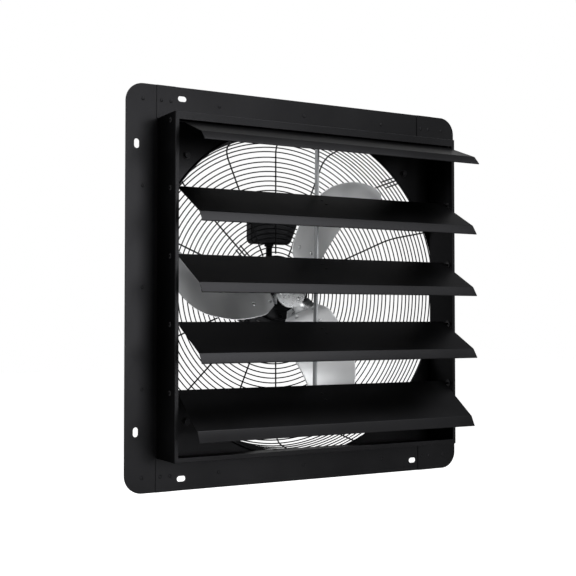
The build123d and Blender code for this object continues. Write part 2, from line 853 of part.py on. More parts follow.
# Motor mounting plate: a ring between the front bell and the shell, with an ear at each diagonal
with BuildPart() as motor_mount_plate:
    with BuildSketch(facing(spoke_front)):
        Circle(shell_radius)
        for azimuth in diagonals:
            with Locations(Location((0, 0), azimuth)):
                with Locations((mount_bolt_radius / 2, 0)):
                    Rectangle(mount_bolt_radius, 2 * ear_radius)
                with Locations((mount_bolt_radius, 0)):
                    Circle(ear_radius)
        Circle(motor_plate_bore, mode=Mode.SUBTRACT)
        with PolarLocations(mount_bolt_radius, len(diagonals), start_angle=diagonals[0]):
            Circle(bolt_radius + bolt_fit, mode=Mode.SUBTRACT)
        with PolarLocations(front_screw_circle, screw_count):
            Circle(motor_screw_radius + bolt_fit, mode=Mode.SUBTRACT)
    extrude(amount=motor_plate)
keep(motor_mount_plate, "motor_mount_plate")


def end_bell(radius, depth, length, outward, screw_circle):
    """An end bell: a disc with a round edge, a bearing boss, a bearing pocket and screw holes."""
    with BuildPart() as bell:
        with BuildSketch(facing(depth)):
            Circle(radius)
        extrude(amount=outward * length)
        outer = bell.faces().sort_by(Axis.Y)[0 if outward > 0 else -1]
        fillet(outer.edges(), radius=bell_round)
        with BuildSketch(facing(depth - outward * length)):
            Circle(bell_boss_radius)
        extrude(amount=outward * bell_boss)
        with BuildSketch(facing(depth)):
            Circle(bearing_radius)
        extrude(amount=outward * bearing_length, mode=Mode.SUBTRACT)
        with BuildSketch(facing(depth)):
            Circle(shaft_radius + bolt_fit)
            with PolarLocations(screw_circle, screw_count):
                Circle(motor_screw_radius + bolt_fit)
        extrude(amount=outward * (length + bell_boss + overrun), mode=Mode.SUBTRACT)
    return bell


rear_screws = shell_radius - shell_wall - motor_screw_head - rear_screw_edge
keep(end_bell(front_bell_radius, plate_front, front_bell_length, 1, front_screw_circle), "motor_front_bell")
keep(end_bell(shell_radius, shell_back, rear_bell_length, -1, rear_screws), "motor_rear_bell")

with BuildPart() as motor_shell:
    with BuildSketch(facing(shell_back)):
        Circle(shell_radius)
        Circle(shell_radius - shell_wall, mode=Mode.SUBTRACT)
    extrude(amount=shell_length)
keep(motor_shell, "motor_shell")

with BuildPart() as stator:
    with BuildSketch(facing(shell_front + stator_set_back + stator_length)):
        Circle(shell_radius - shell_wall - seam_gap)
        Circle(stator_bore, mode=Mode.SUBTRACT)
    extrude(amount=stator_length)
keep(stator, "motor_stator")


def bearing(depth, outward):
    """A ball bearing as one ring round the shaft, seated in its bell."""
    with BuildPart() as ring:
        with BuildSketch(facing(depth)):
            Circle(bearing_radius)
            Circle(shaft_radius + shaft_fit, mode=Mode.SUBTRACT)
        extrude(amount=outward * bearing_length)
    return ring


keep(bearing(plate_front, 1), "front_bearing")
keep(bearing(shell_back, -1), "rear_bearing")

# Screws of the motor: from the front bell into the plate, and from the rear bell into the shell
with BuildPart() as motor_screws:
    for face, circle, outward, seat in (
        (bell_front, front_screw_circle, 1, front_bell_length + motor_plate),
        (bell_back, rear_screws, -1, rear_bell_length),
    ):
        with BuildSketch(facing(face)):
            with PolarLocations(circle, screw_count):
                RegularPolygon(motor_screw_head, rivet_facets)
        extrude(amount=outward * motor_screw_head_height)
        with BuildSketch(facing(face)):
            with PolarLocations(circle, screw_count):
                RegularPolygon(motor_screw_radius, rivet_facets)
        extrude(amount=-outward * seat)
keep(motor_screws, "motor_screws")


def wiring_outline(inset):
    """The wiring box's outline: its right side leans out, and its lower corners are cut off."""
    low = wiring_bottom_width / 2 - inset
    high = wiring_bottom_width / 2 + wiring_lean - inset
    cut = wiring_corner
    points = [
        (cut - low, wiring_bottom + inset),
        (low - cut, wiring_bottom + inset),
        (low, wiring_bottom + inset + cut),
        (high, wiring_top - inset),
        (-low, wiring_top - inset),
        (-low, wiring_bottom + inset + cut),
    ]
    Polygon(*points, align=None)


wiring_back = box_front + wiring_depth
nipple_y = box_front + wiring_wall + nipple_gap + nipple_radius
gland_z = (wiring_bottom + wiring_top) / 2
gland_y = box_front + wiring_depth / 2
screw_places = [
    (cover_screw_inset - wiring_bottom_width / 2, wiring_top - cover_screw_inset),
    (wiring_bottom_width / 2 + wiring_lean - cover_screw_inset, wiring_top - cover_screw_inset),
]

with BuildPart() as wiring_box:
    with BuildSketch(facing(wiring_back)):
        wiring_outline(0)
    extrude(amount=wiring_depth)
    with BuildSketch(facing(wiring_back)):
        wiring_outline(wiring_wall)
    extrude(amount=wiring_depth - wiring_wall, mode=Mode.SUBTRACT)
    with BuildSketch(Plane.XY.offset(wiring_bottom - overrun)):
        with Locations((0, nipple_y)):
            Circle(nipple_radius)
    extrude(amount=overrun + wiring_wall, mode=Mode.SUBTRACT)
    with BuildSketch(Plane.XY.offset(wiring_top - wiring_wall)):
        with Locations((0, gland_y)):
            Circle(gland_radius)
    extrude(amount=wiring_wall + overrun, mode=Mode.SUBTRACT)
keep(wiring_box, "wiring_box")

with BuildPart() as wiring_cover:
    with BuildSketch(facing(wiring_back + wiring_wall)):
        wiring_outline(0)
        with Locations(*screw_places):
            Circle(motor_screw_radius + bolt_fit, mode=Mode.SUBTRACT)
    extrude(amount=wiring_wall)
keep(wiring_cover, "wiring_cover")

with BuildPart() as cover_screws:
    with BuildSketch(facing(wiring_back + wiring_wall)):
        with Locations(*screw_places):
            RegularPolygon(motor_screw_head, rivet_facets)
    extrude(amount=-motor_screw_head_height)
    with BuildSketch(facing(wiring_back + wiring_wall)):
        with Locations(*screw_places):
            RegularPolygon(motor_screw_radius, rivet_facets)
    extrude(amount=wiring_wall + overrun)
keep(cover_screws, "cover_screws")

# Conduit nipple from the shell into the wiring box
with BuildPart() as wiring_nipple:
    with BuildSketch(Plane.XY.offset(shell_radius)):
        with Locations((0, nipple_y)):
            Circle(nipple_radius)
            Circle(nipple_bore, mode=Mode.SUBTRACT)
    extrude(amount=wiring_bottom - shell_radius + 2 * wiring_wall)
keep(wiring_nipple, "wiring_nipple")

# Cable gland in the top of the wiring box
with BuildPart() as cable_gland:
    with BuildSketch(Plane.XY.offset(wiring_top - 2 * wiring_wall)):
        with Locations((0, gland_y)):
            Circle(gland_radius)
    extrude(amount=2 * wiring_wall + gland_length)
    with BuildSketch(Plane.XY.offset(wiring_top)):
        with Locations((0, gland_y)):
            RegularPolygon(gland_nut_radius, 6)
    extrude(amount=gland_nut)
    with BuildSketch(Plane.XY.offset(wiring_top - 2 * wiring_wall)):
        with Locations((0, gland_y)):
            Circle(gland_bore)
    extrude(amount=2 * wiring_wall + gland_length, mode=Mode.SUBTRACT)
keep(cable_gland, "cable_gland")

# Shaft, from in front of the hub to inside the rear bell
shaft_back = shell_back + bearing_length - shaft_tail
with BuildPart() as shaft:
    with BuildSketch(facing(shaft_back)):
        Circle(shaft_radius)
    extrude(amount=shaft_back - shaft_front)
    chamfer(shaft.edges().sort_by(Axis.Y)[0], length=bend_radius)
keep(shaft, "shaft")

with BuildPart() as rotor_core:
    with BuildSketch(facing(shell_front + stator_set_back + stator_length)):
        Circle(stator_bore - air_gap)
        Circle(shaft_radius, mode=Mode.SUBTRACT)
    extrude(amount=stator_length)
keep(rotor_core, "rotor_core")


def share_at(place, shares):
    """A share at a place along the blade, in line between the stations on either side."""
    last = len(station_shares) - 1
    step = next((k for k in range(last) if station_shares[k + 1] >= place), last - 1)
    part = (place - station_shares[step]) / (station_shares[step + 1] - station_shares[step])
    return shares[step] + part * (shares[step + 1] - shares[step])


def blade_depth(place, across):
    """Depth of a blade's front face: pitched from its rear edge and cambered along its chord."""
    rear = share_at(place, rear_edge_shares) * blade_radius
    fore = share_at(place, fore_edge_shares) * blade_radius
    along = (place - station_shares[0]) / (station_shares[-1] - station_shares[0])
    pitch = root_pitch + (tip_pitch - root_pitch) * along
    chord = rear - fore
    part = (rear - across) / chord
    camber = 4 * camber_share * chord * part * (1 - part)
    return blade_front + (rear - across) * tan(radians(pitch)) + camber


def arc_section(azimuth, radius, front, sheet):
    """A section square to a blade's length: an arc through three points and one a sheet behind."""
    turn = radians(azimuth)
    plane = Plane(
        origin=(radius * cos(turn), 0, radius * sin(turn)),
        x_dir=(-sin(turn), 0, cos(turn)),
        z_dir=(cos(turn), 0, sin(turn)),
    )
    rear = [(v, y - sheet) for v, y in front]
    with BuildSketch(plane) as section:
        with BuildLine():
            ThreePointArc(*front)
            Line(front[-1], rear[-1])
            ThreePointArc(*reversed(rear))
            Line(rear[0], front[0])
        make_face()
    return section.sketch


def blade_section(azimuth, place, upper, lower, back, sheet):
    """A section of a blade, or of an arm that lies a little behind its blade's front face."""
    ends = [upper * blade_radius, (upper + lower) * blade_radius / 2, lower * blade_radius]
    front = [(v, -blade_depth(place, v) - back) for v in ends]
    return arc_section(azimuth, place * blade_radius, front, sheet)


def rivet_planes(azimuth):
    """The planes that touch a blade's front face at its rivets and look out of it."""
    turn = radians(azimuth)
    along = Vector(cos(turn), 0, sin(turn))
    across = Vector(-sin(turn), 0, cos(turn))
    planes = []
    for u, v in zip(rivet_along_shares, rivet_across_shares):
        place = v * blade_radius
        face = blade_depth(u, place)
        step = slope_step_share * blade_radius
        ahead, behind = u + slope_step_share, u - slope_step_share
        rise_along = (blade_depth(ahead, place) - blade_depth(behind, place)) / (2 * step)
        rise_across = (blade_depth(u, place + step) - blade_depth(u, place - step)) / (2 * step)
        planes.append(
            Plane(
                origin=along * (u * blade_radius) + across * place + Vector(0, face, 0),
                x_dir=along + Vector(0, rise_along, 0),
                z_dir=along * rise_along + across * rise_across - Vector(0, 1, 0),
            )
        )
    return planes


def drill_blade_rivets(planes):
    """Rivet holes square to the blades, through the piece in hand."""
    for plane in planes:
        with BuildSketch(plane.offset(overrun)) as hole:
            Circle(blade_rivet_radius + rivet_clearance)
        extrude(hole.sketch, amount=-3 * overrun, mode=Mode.SUBTRACT)


def drill_hub_rivets():
    """Rivet holes of the hub, through the piece in hand."""
    with BuildSketch(facing(guard_reach)) as holes:
        with Locations(*hub_rivet_places):
            Circle(blade_rivet_radius + rivet_clearance)
    extrude(holes.sketch, amount=guard_reach, mode=Mode.SUBTRACT)


blade_azimuths = [blade_azimuth + 360 / blade_count * k for k in range(blade_count)]
all_rivet_planes = [plane for azimuth in blade_azimuths for plane in rivet_planes(azimuth)]
hub_rivet_azimuths = [radians(azimuth - hub_rivet_turn) for azimuth in blade_azimuths]
hub_rivet_places = [(hub_rivet_circle * cos(a), hub_rivet_circle * sin(a)) for a in hub_rivet_azimuths]

for number, azimuth in enumerate(blade_azimuths, start=1):
    with BuildPart() as fan_blade:
        sections = [
            blade_section(azimuth, place, upper, lower, 0, blade_sheet)
            for place, upper, lower in zip(station_shares, rear_edge_shares, fore_edge_shares)
        ]
        loft(sections, ruled=True)
        drill_blade_rivets(rivet_planes(azimuth))
    keep(fan_blade, f"fan_blade_{number}")

# Spider: a disc on the hub and three twisted arms that lie behind the blades
with BuildPart() as spider:
    with BuildSketch(facing(spider_depth + spider_sheet)):
        Circle(spider_disc_radius)
    extrude(amount=spider_sheet)
    places = station_shares[: len(arm_upper_shares) - 1] + [arm_tip_share]
    for azimuth in blade_azimuths:
        ends = [arm_upper_shares[0] * blade_radius, 0, arm_lower_shares[0] * blade_radius]
        root = [(v, -spider_depth - (0 if v else seam_gap)) for v in ends]
        sections = [arc_section(azimuth, spider_arm_start, root, spider_sheet)]
        sections += [
            blade_section(azimuth, place, upper, lower, blade_sheet + spider_seat_gap, spider_sheet)
            for place, upper, lower in zip(places, arm_upper_shares, arm_lower_shares)
        ]
        loft(sections, ruled=True)
    with BuildSketch(facing(spider_depth + spider_sheet)):
        Circle(shaft_radius + bolt_fit)
    extrude(amount=spider_sheet + overrun, mode=Mode.SUBTRACT)
    drill_blade_rivets(all_rivet_planes)
    drill_hub_rivets()
keep(spider, "spider")

# Hub: a flange behind the spider's disc and a boss that the shaft passes through
hub_front = spider_depth + spider_sheet
with BuildPart() as hub:
    with BuildSketch(facing(hub_front + hub_flange)):
        Circle(hub_flange_radius)
    extrude(amount=hub_flange)
    with BuildSketch(facing(hub_front + hub_length)):
        Circle(hub_radius)
    extrude(amount=hub_length)
    with BuildSketch(facing(hub_front + hub_length)):
        Circle(shaft_radius + hub_fit)
    extrude(amount=hub_length, mode=Mode.SUBTRACT)
    drill_hub_rivets()
    with BuildSketch(Plane.XY):
        with Locations((0, hub_front + (hub_flange + hub_length) / 2)):
            Circle(set_screw_radius + rivet_clearance)
    extrude(amount=hub_radius + overrun, mode=Mode.SUBTRACT)
keep(hub, "hub")

with BuildPart() as set_screw:
    with BuildSketch(Plane.XY.offset(shaft_radius + rivet_clearance)):
        with Locations((0, hub_front + (hub_flange + hub_length) / 2)):
            RegularPolygon(set_screw_radius, rivet_facets)
    extrude(amount=set_screw_length)
keep(set_screw, "set_screw")


with BuildPart() as blade_rivets:
    grip = blade_sheet + spider_seat_gap + spider_sheet
    for plane in all_rivet_planes:
        with BuildSketch(plane.offset(rivet_seat_gap)):
            RegularPolygon(blade_rivet_radius, rivet_facets)
        extrude(amount=-grip)
        with BuildSketch(plane.offset(rivet_seat_gap)):
            RegularPolygon(blade_rivet_head, rivet_facets)
        extrude(amount=blade_rivet_dome, taper=30)
keep(blade_rivets, "blade_rivets")

with BuildPart() as hub_rivets:
    with BuildSketch(facing(hub_front + hub_flange)):
        with Locations(*hub_rivet_places):
            RegularPolygon(blade_rivet_radius, rivet_facets)
    extrude(amount=hub_flange + spider_sheet)
    with BuildSketch(facing(spider_depth)):
        with Locations(*hub_rivet_places):
            RegularPolygon(blade_rivet_head, rivet_facets)
    extrude(amount=blade_rivet_dome, taper=30)
keep(hub_rivets, "hub_rivets")
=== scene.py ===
"""Shutter exhaust fan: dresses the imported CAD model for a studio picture.

Lengths are in metres in the part's own frame: X right, Y into the wall, Z up,
with the origin in the middle of the wall opening, on the plane of the wall.
"""

import json
from math import cos, pi, radians, sin, tan

import bpy
import numpy as np
from bpy.props import FloatProperty, FloatVectorProperty, IntProperty, PointerProperty
from bpy.types import Operator, Panel, PropertyGroup
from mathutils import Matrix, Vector


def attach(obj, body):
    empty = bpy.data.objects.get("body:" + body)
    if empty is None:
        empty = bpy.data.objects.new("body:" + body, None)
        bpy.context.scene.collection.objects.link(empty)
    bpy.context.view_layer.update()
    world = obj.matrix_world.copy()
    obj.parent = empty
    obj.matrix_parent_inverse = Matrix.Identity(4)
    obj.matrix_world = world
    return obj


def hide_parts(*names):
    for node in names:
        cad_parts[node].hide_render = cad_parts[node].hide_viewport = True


bl_info = {
    "name": "Shutter Exhaust Fan",
    "version": (1, 0, 0),
    "blender": (4, 5, 0),
    "location": "View3D > Sidebar > Exhaust Fan",
    "description": "Builds the visible pieces, finishes and studio of a shutter exhaust fan",
    "category": "Add Mesh",
}

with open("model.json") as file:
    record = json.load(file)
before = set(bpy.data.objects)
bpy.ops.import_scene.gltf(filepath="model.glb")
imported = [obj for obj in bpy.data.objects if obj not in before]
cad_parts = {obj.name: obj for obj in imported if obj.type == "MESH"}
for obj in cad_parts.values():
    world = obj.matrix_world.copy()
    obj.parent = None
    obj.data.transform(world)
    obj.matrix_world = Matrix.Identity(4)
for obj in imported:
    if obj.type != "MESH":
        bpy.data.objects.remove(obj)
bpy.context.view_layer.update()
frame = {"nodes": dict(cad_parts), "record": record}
NODES = frame["nodes"]
MM = 0.001
ORIGIN = np.zeros(3)
X_AXIS, Y_AXIS, Z_AXIS = np.eye(3)
NOISE_RANGE = (0.3, 0.7)
SMOOTH_ANGLE = radians(35.0)
SHEET_SMOOTH_ANGLE = radians(50.0)
BOLT_SMOOTH_ANGLE = radians(30.0)


# Sizes and settings that a user would change


class ShutterSizes(PropertyGroup):
    """Sizes of the louvers and the fasteners of the shutter."""

    louver_sheet: FloatProperty(
        name="Louver sheet", description="Thickness of a louver's sheet",
        default=1.0 * MM, unit="LENGTH"
    )
    louver_length: FloatProperty(
        name="Louver length", description="Length of a louver between its ends",
        default=567.8 * MM, unit="LENGTH"
    )
    louver_blade: FloatProperty(
        name="Louver blade", description="From the pivot to the bend of the lip",
        default=102.0 * MM, unit="LENGTH"
    )
    louver_lip: FloatProperty(
        name="Louver lip", description="From the bend to the tip of the lip",
        default=20.0 * MM, unit="LENGTH"
    )
    lip_bend: FloatProperty(
        name="Lip bend", description="Angle of the louver's lip",
        default=radians(27.0), subtype="ANGLE"
    )
    bend_radius: FloatProperty(
        name="Bend radius", description="Radius of the bends in the sheet",
        default=2.5 * MM, unit="LENGTH"
    )
    rivet_radius: FloatProperty(
        name="Rivet head radius", description="Radius of a blind rivet's head",
        default=3.2 * MM, unit="LENGTH"
    )


class GuardSizes(PropertyGroup):
    """Sizes of the wire guard."""

    spoke_wire: FloatProperty(
        name="Spoke wire", description="Thickness of a radial wire", default=3.0 * MM, unit="LENGTH"
    )
    ring_wire: FloatProperty(
        name="Ring wire", description="Thickness of a ring's wire", default=2.4 * MM, unit="LENGTH"
    )
    ring_pitch: FloatProperty(
        name="Ring pitch", description="Distance from ring to ring", default=9.4 * MM, unit="LENGTH"
    )
    first_ring: FloatProperty(
        name="First ring", description="Radius of the innermost ring",
        default=77.2 * MM, unit="LENGTH"
    )
    reach: FloatProperty(
        name="Reach", description="Depth of the spokes' rear side",
        default=108.9 * MM, unit="LENGTH"
    )
    corner: FloatProperty(
        name="Corner", description="Radius of the guard's rolled corner",
        default=30.0 * MM, unit="LENGTH"
    )
    face_edge: FloatProperty(
        name="Face edge", description="Radius at which the face starts to roll forward",
        default=272.0 * MM, unit="LENGTH"
    )
    lean: FloatProperty(
        name="Lean", description="How far the guard's wall leans outwards",
        default=radians(11.5), subtype="ANGLE"
    )
    spokes: IntProperty(name="Spokes", description="Number of radial wires", default=16, min=4)


class RotorSizes(PropertyGroup):
    """Sizes of the fan blades and what carries them."""

    blade_radius: FloatProperty(
        name="Blade radius", description="From the shaft to the blade's tip",
        default=292.0 * MM, unit="LENGTH"
    )
    blade_sheet: FloatProperty(
        name="Blade sheet", description="Thickness of a blade's sheet",
        default=2.0 * MM, unit="LENGTH"
    )
    root_pitch: FloatProperty(
        name="Root pitch", description="Pitch of a blade at its root",
        default=radians(30.0), subtype="ANGLE"
    )
    tip_pitch: FloatProperty(
        name="Tip pitch", description="Pitch of a blade at its tip",
        default=radians(18.0), subtype="ANGLE"
    )
    camber: FloatProperty(
        name="Camber", description="Bow of a blade as a share of its chord",
        default=0.05, subtype="FACTOR"
    )


class FanFinishes(PropertyGroup):
    """Colours and roughness of the finishes."""

    coat_colour: FloatVectorProperty(
        name="Coat colour", description="Colour of the black powder coat",
        default=(0.013, 0.013, 0.0138), subtype="COLOR", min=0.0, max=1.0
    )
    coat_roughness: FloatProperty(
        name="Coat roughness", description="Roughness of the black powder coat",
        default=0.38, subtype="FACTOR"
    )
    blade_colour: FloatVectorProperty(
        name="Blade colour", description="Colour of the aluminium blades",
        default=(0.80, 0.81, 0.82), subtype="COLOR", min=0.0, max=1.0
    )
    zinc_colour: FloatVectorProperty(
        name="Zinc colour", description="Colour of the zinc plated steel",
        default=(0.56, 0.57, 0.58), subtype="COLOR", min=0.0, max=1.0
    )
    bar_colour: FloatVectorProperty(
        name="Tie bar colour", description="Colour of the dull tie bar",
        default=(0.30, 0.31, 0.32), subtype="COLOR", min=0.0, max=1.0
    )


class StudioSettings(PropertyGroup):
    """Lights, camera and floor."""

    lens: FloatProperty(
        name="Lens", description="Focal length of the camera in millimetres", default=65.715
    )
    key_power: FloatProperty(
        name="Key light", description="Power of the key light", default=49.0, unit="POWER"
    )
    front_power: FloatProperty(
        name="Front light", description="Power of the light near the camera",
        default=34.0, unit="POWER"
    )
    side_power: FloatProperty(
        name="Side light", description="Power of the light from the left",
        default=10.0, unit="POWER"
    )
    rear_power: FloatProperty(
        name="Rear light", description="Power of the light behind the guard",
        default=42.0, unit="POWER"
    )
    ambient: FloatProperty(
        name="Ambient", description="Strength of the light from all around", default=0.3
    )
    floor_height: FloatProperty(
        name="Floor height", description="Height of the floor",
        default=-0.75, unit="LENGTH", subtype="DISTANCE"
    )


# Shapes: each is a pair of points, an array of three columns, and a list of arrays of faces


def unit(vectors):
    """The same directions, each of length one."""
    return vectors / np.linalg.norm(vectors, axis=-1, keepdims=True)


def grid_faces(rows, columns, loop=False):
    """Quads that join each point of a grid to the next round its row, and to the next row's.

    In a loop the last row is joined to the first.
    """
    row, column = np.meshgrid(
        np.arange(rows if loop else rows - 1), np.arange(columns), indexing="ij"
    )
    next_row, next_column = (row + 1) % rows, (column + 1) % columns
    corners = (
        row * columns + column, row * columns + next_column,
        next_row * columns + next_column, next_row * columns + column,
    )
    return np.stack(corners, axis=-1).reshape(-1, 4)


def end_caps(rows, columns):
    """Two faces that close a grid at its first and at its last row."""
    ring = np.arange(columns)[None]
    return [ring[:, ::-1], (rows - 1) * columns + ring]


def strip_faces(rows, half):
    """Faces of a sheet whose rows are loops of two runs of half points: the skin and both ends."""
    k = np.arange(half - 1)
    caps = np.stack([k, k + 1, 2 * half - 2 - k, 2 * half - 1 - k], axis=1)
    return [grid_faces(rows, 2 * half), caps[:, ::-1], caps + (rows - 1) * 2 * half]


def outward(points, faces):
    """The same shape, its faces turned outwards: a closed shape's signed volume is above zero."""
    volume = 0.0
    for block in faces:
        for k in range(1, block.shape[1] - 1):
            a, b, c = points[block[:, 0]], points[block[:, k]], points[block[:, k + 1]]
            volume += float(np.sum(a * np.cross(b, c)))
    if volume < 0:
        faces = [block[:, ::-1] for block in faces]
    return points, faces


def joined(shapes):
    """One shape made of several."""
    points, faces, start = [], [], 0
    for shape_points, shape_faces in shapes:
        points.append(shape_points)
        faces += [block + start for block in shape_faces]
        start += len(shape_points)
    return np.concatenate(points), faces


def copied(shape, origins, x_dirs, y_dirs, z_dirs):
    """Copies of a shape, each point carried to origin + x * x_dir + y * y_dir + z * z_dir."""
    points, faces = shape
    count = len(origins)
    axes = np.stack([np.broadcast_to(d, (count, 3)) for d in (x_dirs, y_dirs, z_dirs)], axis=1)
    moved = np.einsum("pk,nkd->npd", points, axes) + np.asarray(origins)[:, None, :]
    starts = (np.arange(count) * len(points))[:, None, None]
    blocks = [(block[None] + starts).reshape(-1, block.shape[1]) for block in faces]
    return moved.reshape(-1, 3), blocks


def tube(path, normal, radius, sides=8, closed=False):
    """A wire along a flat path, its ends closed.

    Its points are path + radius * (cos(a) * side + sin(a) * normal).
    """
    if closed:
        tangent = np.roll(path, -1, axis=0) - np.roll(path, 1, axis=0)
    else:
        tangent = np.gradient(path, axis=0)
    side = np.cross(normal, unit(tangent))
    angle = (np.arange(sides) * 2 * pi / sides)[None, :, None]
    ring = np.cos(angle) * side[:, None, :] + np.sin(angle) * normal
    points = (path[:, None, :] + radius * ring).reshape(-1, 3)
    ends = [] if closed else end_caps(len(path), sides)
    return outward(points, [grid_faces(len(path), sides, closed), *ends])


def lathe(profile, centre, axis, start, segments, ring=False):
    """A turned form: centre + height * axis + radius * (cos(a) * start + sin(a) * side).

    The profile's columns are radius and height. An open profile is closed by a face at each end,
    and a ring's profile is a loop.
    """
    profile = np.asarray(profile, float)
    side = np.cross(axis, start)
    angle = (np.arange(segments) * 2 * pi / segments)[:, None]
    spoke = np.cos(angle) * start + np.sin(angle) * side
    radius, height = profile[:, 0, None, None], profile[:, 1, None, None]
    points = (radius * spoke[None] + height * axis + centre).reshape(-1, 3)
    ends = [] if ring else end_caps(len(profile), segments)
    return outward(points, [grid_faces(len(profile), segments, ring), *ends])


def inset(outline, distance):
    """A closed outline moved inwards: each corner goes along the bisector of its two edges."""
    before = outline - np.roll(outline, 1, axis=0)
    after = np.roll(outline, -1, axis=0) - outline
    hand = np.sign(np.sum(before[:, 0] * after[:, 1] - before[:, 1] * after[:, 0]))
    normals = [hand * unit(edge)[:, ::-1] * (-1, 1) for edge in (before, after)]
    bisector = unit(normals[0] + normals[1])
    sharpest = 0.3
    share = np.maximum(np.sum(bisector * normals[0], axis=1, keepdims=True), sharpest)
    return outline + bisector * distance / share


def prism(outline, origin, x_dir, y_dir, z_dir, low, high, bevel):
    """A straight form: outline from low to high along z_dir, its end edges cut off by the bevel."""
    small = inset(outline, bevel)
    levels = [(small, low), (outline, low + bevel), (outline, high - bevel), (small, high)]
    points = np.concatenate(
        [origin + o[:, :1] * x_dir + o[:, 1:] * y_dir + height * z_dir for o, height in levels]
    )
    size = len(levels), len(outline)
    return outward(points, [grid_faces(*size), *end_caps(*size)])


def arc(centre, radius, start, end, count):
    """Points of an arc in two columns: centre + radius * (cos(a), sin(a)) from start to end."""
    angle = np.linspace(start, end, count)
    return np.asarray(centre) + radius * np.stack([np.cos(angle), np.sin(angle)], axis=1)


def smooth_line(x, stations, values):
    """A smooth curve through stations: a cubic between two whose slopes are their neighbours'."""
    stations, values = np.asarray(stations), np.asarray(values)
    slopes = np.gradient(values, stations)
    k = np.clip(np.searchsorted(stations, x) - 1, 0, len(stations) - 2)
    width = stations[k + 1] - stations[k]
    t = (x - stations[k]) / width
    return (
        (2 * t**3 - 3 * t**2 + 1) * values[k]
        + (t**3 - 2 * t**2 + t) * width * slopes[k]
        + (3 * t**2 - 2 * t**3) * values[k + 1]
        + (t**3 - t**2) * width * slopes[k + 1]
    )


def make_piece(name, shape, material, body, cad_nodes, smooth_angle=SMOOTH_ANGLE):
    """An object from a shape, riding on a body and standing for CAD nodes."""
    points, faces = shape
    mesh = bpy.data.meshes.new(name)
    mesh.vertices.add(len(points))
    mesh.vertices.foreach_set("co", points.astype(np.float32).ravel())
    counts = np.concatenate([np.full(len(block), block.shape[1]) for block in faces])
    corners = np.concatenate([block.ravel() for block in faces])
    mesh.loops.add(len(corners))
    mesh.loops.foreach_set("vertex_index", corners.astype(np.int32))
    mesh.polygons.add(len(counts))
    mesh.polygons.foreach_set("loop_start", (np.cumsum(counts) - counts).astype(np.int32))
    mesh.update(calc_edges=True)
    mesh.validate()
    mesh.shade_smooth()
    mesh.set_sharp_from_angle(angle=smooth_angle)
    mesh.materials.append(material)
    piece = bpy.data.objects.new(name, mesh)
    bpy.context.scene.collection.objects.link(piece)
    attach(piece, body)
    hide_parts(*cad_nodes)


# Finishes


def new_material(name):
    """A material, its nodes, its links and its shader."""
    material = bpy.data.materials.new(name)
    material.use_nodes = True
    nodes, links = material.node_tree.nodes, material.node_tree.links
    return material, nodes, links, nodes["Principled BSDF"]


def set_inputs(node, values):
    """Gives a node's inputs their values, by name."""
    for name, value in values.items():
        node.inputs[name].default_value = value


def object_noise(nodes, links, scale, detail, stretch=(1.0, 1.0, 1.0)):
    """Noise laid out in the object's own coordinates."""
    place = nodes.new("ShaderNodeTexCoord")
    mapping = nodes.new("ShaderNodeMapping")
    noise = nodes.new("ShaderNodeTexNoise")
    set_inputs(mapping, {"Scale": stretch})
    set_inputs(noise, {"Scale": scale, "Detail": detail})
    links.new(place.outputs["Object"], mapping.inputs["Vector"])
    links.new(mapping.outputs["Vector"], noise.inputs["Vector"])
    return noise


def tint(nodes, links, noise, shader, colour, shades):
    """The shader's colour follows the noise between two shades of one colour."""
    ramp = nodes.new("ShaderNodeValToRGB")
    for end, (place, shade) in enumerate(zip(NOISE_RANGE, shades)):
        ramp.color_ramp.elements[end].position = place
        ramp.color_ramp.elements[end].color = (*[shade * c for c in colour], 1.0)
    links.new(noise.outputs["Fac"], ramp.inputs["Fac"])
    links.new(ramp.outputs["Color"], shader.inputs["Base Color"])


def vary(nodes, links, noise, shader, low, high):
    """The shader's roughness follows the noise between two values."""
    spread = nodes.new("ShaderNodeMapRange")
    first, last = NOISE_RANGE
    set_inputs(spread, {"From Min": first, "From Max": last, "To Min": low, "To Max": high})
    links.new(noise.outputs["Fac"], spread.inputs["Value"])
    links.new(spread.outputs["Result"], shader.inputs["Roughness"])


def add_bump(nodes, links, noise, shader, strength, distance):
    """Fine relief from the noise."""
    bump = nodes.new("ShaderNodeBump")
    set_inputs(bump, {"Strength": strength, "Distance": distance})
    links.new(noise.outputs["Fac"], bump.inputs["Height"])
    links.new(bump.outputs["Normal"], shader.inputs["Normal"])


def powder_coat(name, colour, roughness):
    """Satin powder coat: a faint orange peel, and a roughness that drifts a little.

    It is shaded as a very dark metal, so it keeps one even sheen and isn't pale at a glance.
    """
    material, nodes, links, shader = new_material(name)
    set_inputs(shader, {"Metallic": 1.0, "Specular Tint": (0.5, 0.5, 0.5, 1.0)})
    drift = object_noise(nodes, links, scale=6.0, detail=3.0)
    tint(nodes, links, drift, shader, colour, (0.85, 1.15))
    vary(nodes, links, drift, shader, roughness - 0.05, roughness + 0.05)
    peel = object_noise(nodes, links, scale=900.0, detail=2.0)
    add_bump(nodes, links, peel, shader, strength=0.12, distance=0.4 * MM)
    return material


def rolled_metal(name, colour, roughness, scale, stretch, bump=0.04):
    """Bare sheet or bar: metal whose gloss runs in streaks along one direction."""
    material, nodes, links, shader = new_material(name)
    set_inputs(shader, {"Metallic": 1.0})
    streaks = object_noise(nodes, links, scale, detail=4.0, stretch=stretch)
    tint(nodes, links, streaks, shader, colour, (0.92, 1.04))
    vary(nodes, links, streaks, shader, roughness - 0.06, roughness + 0.08)
    add_bump(nodes, links, streaks, shader, bump, distance=0.2 * MM)
    return material


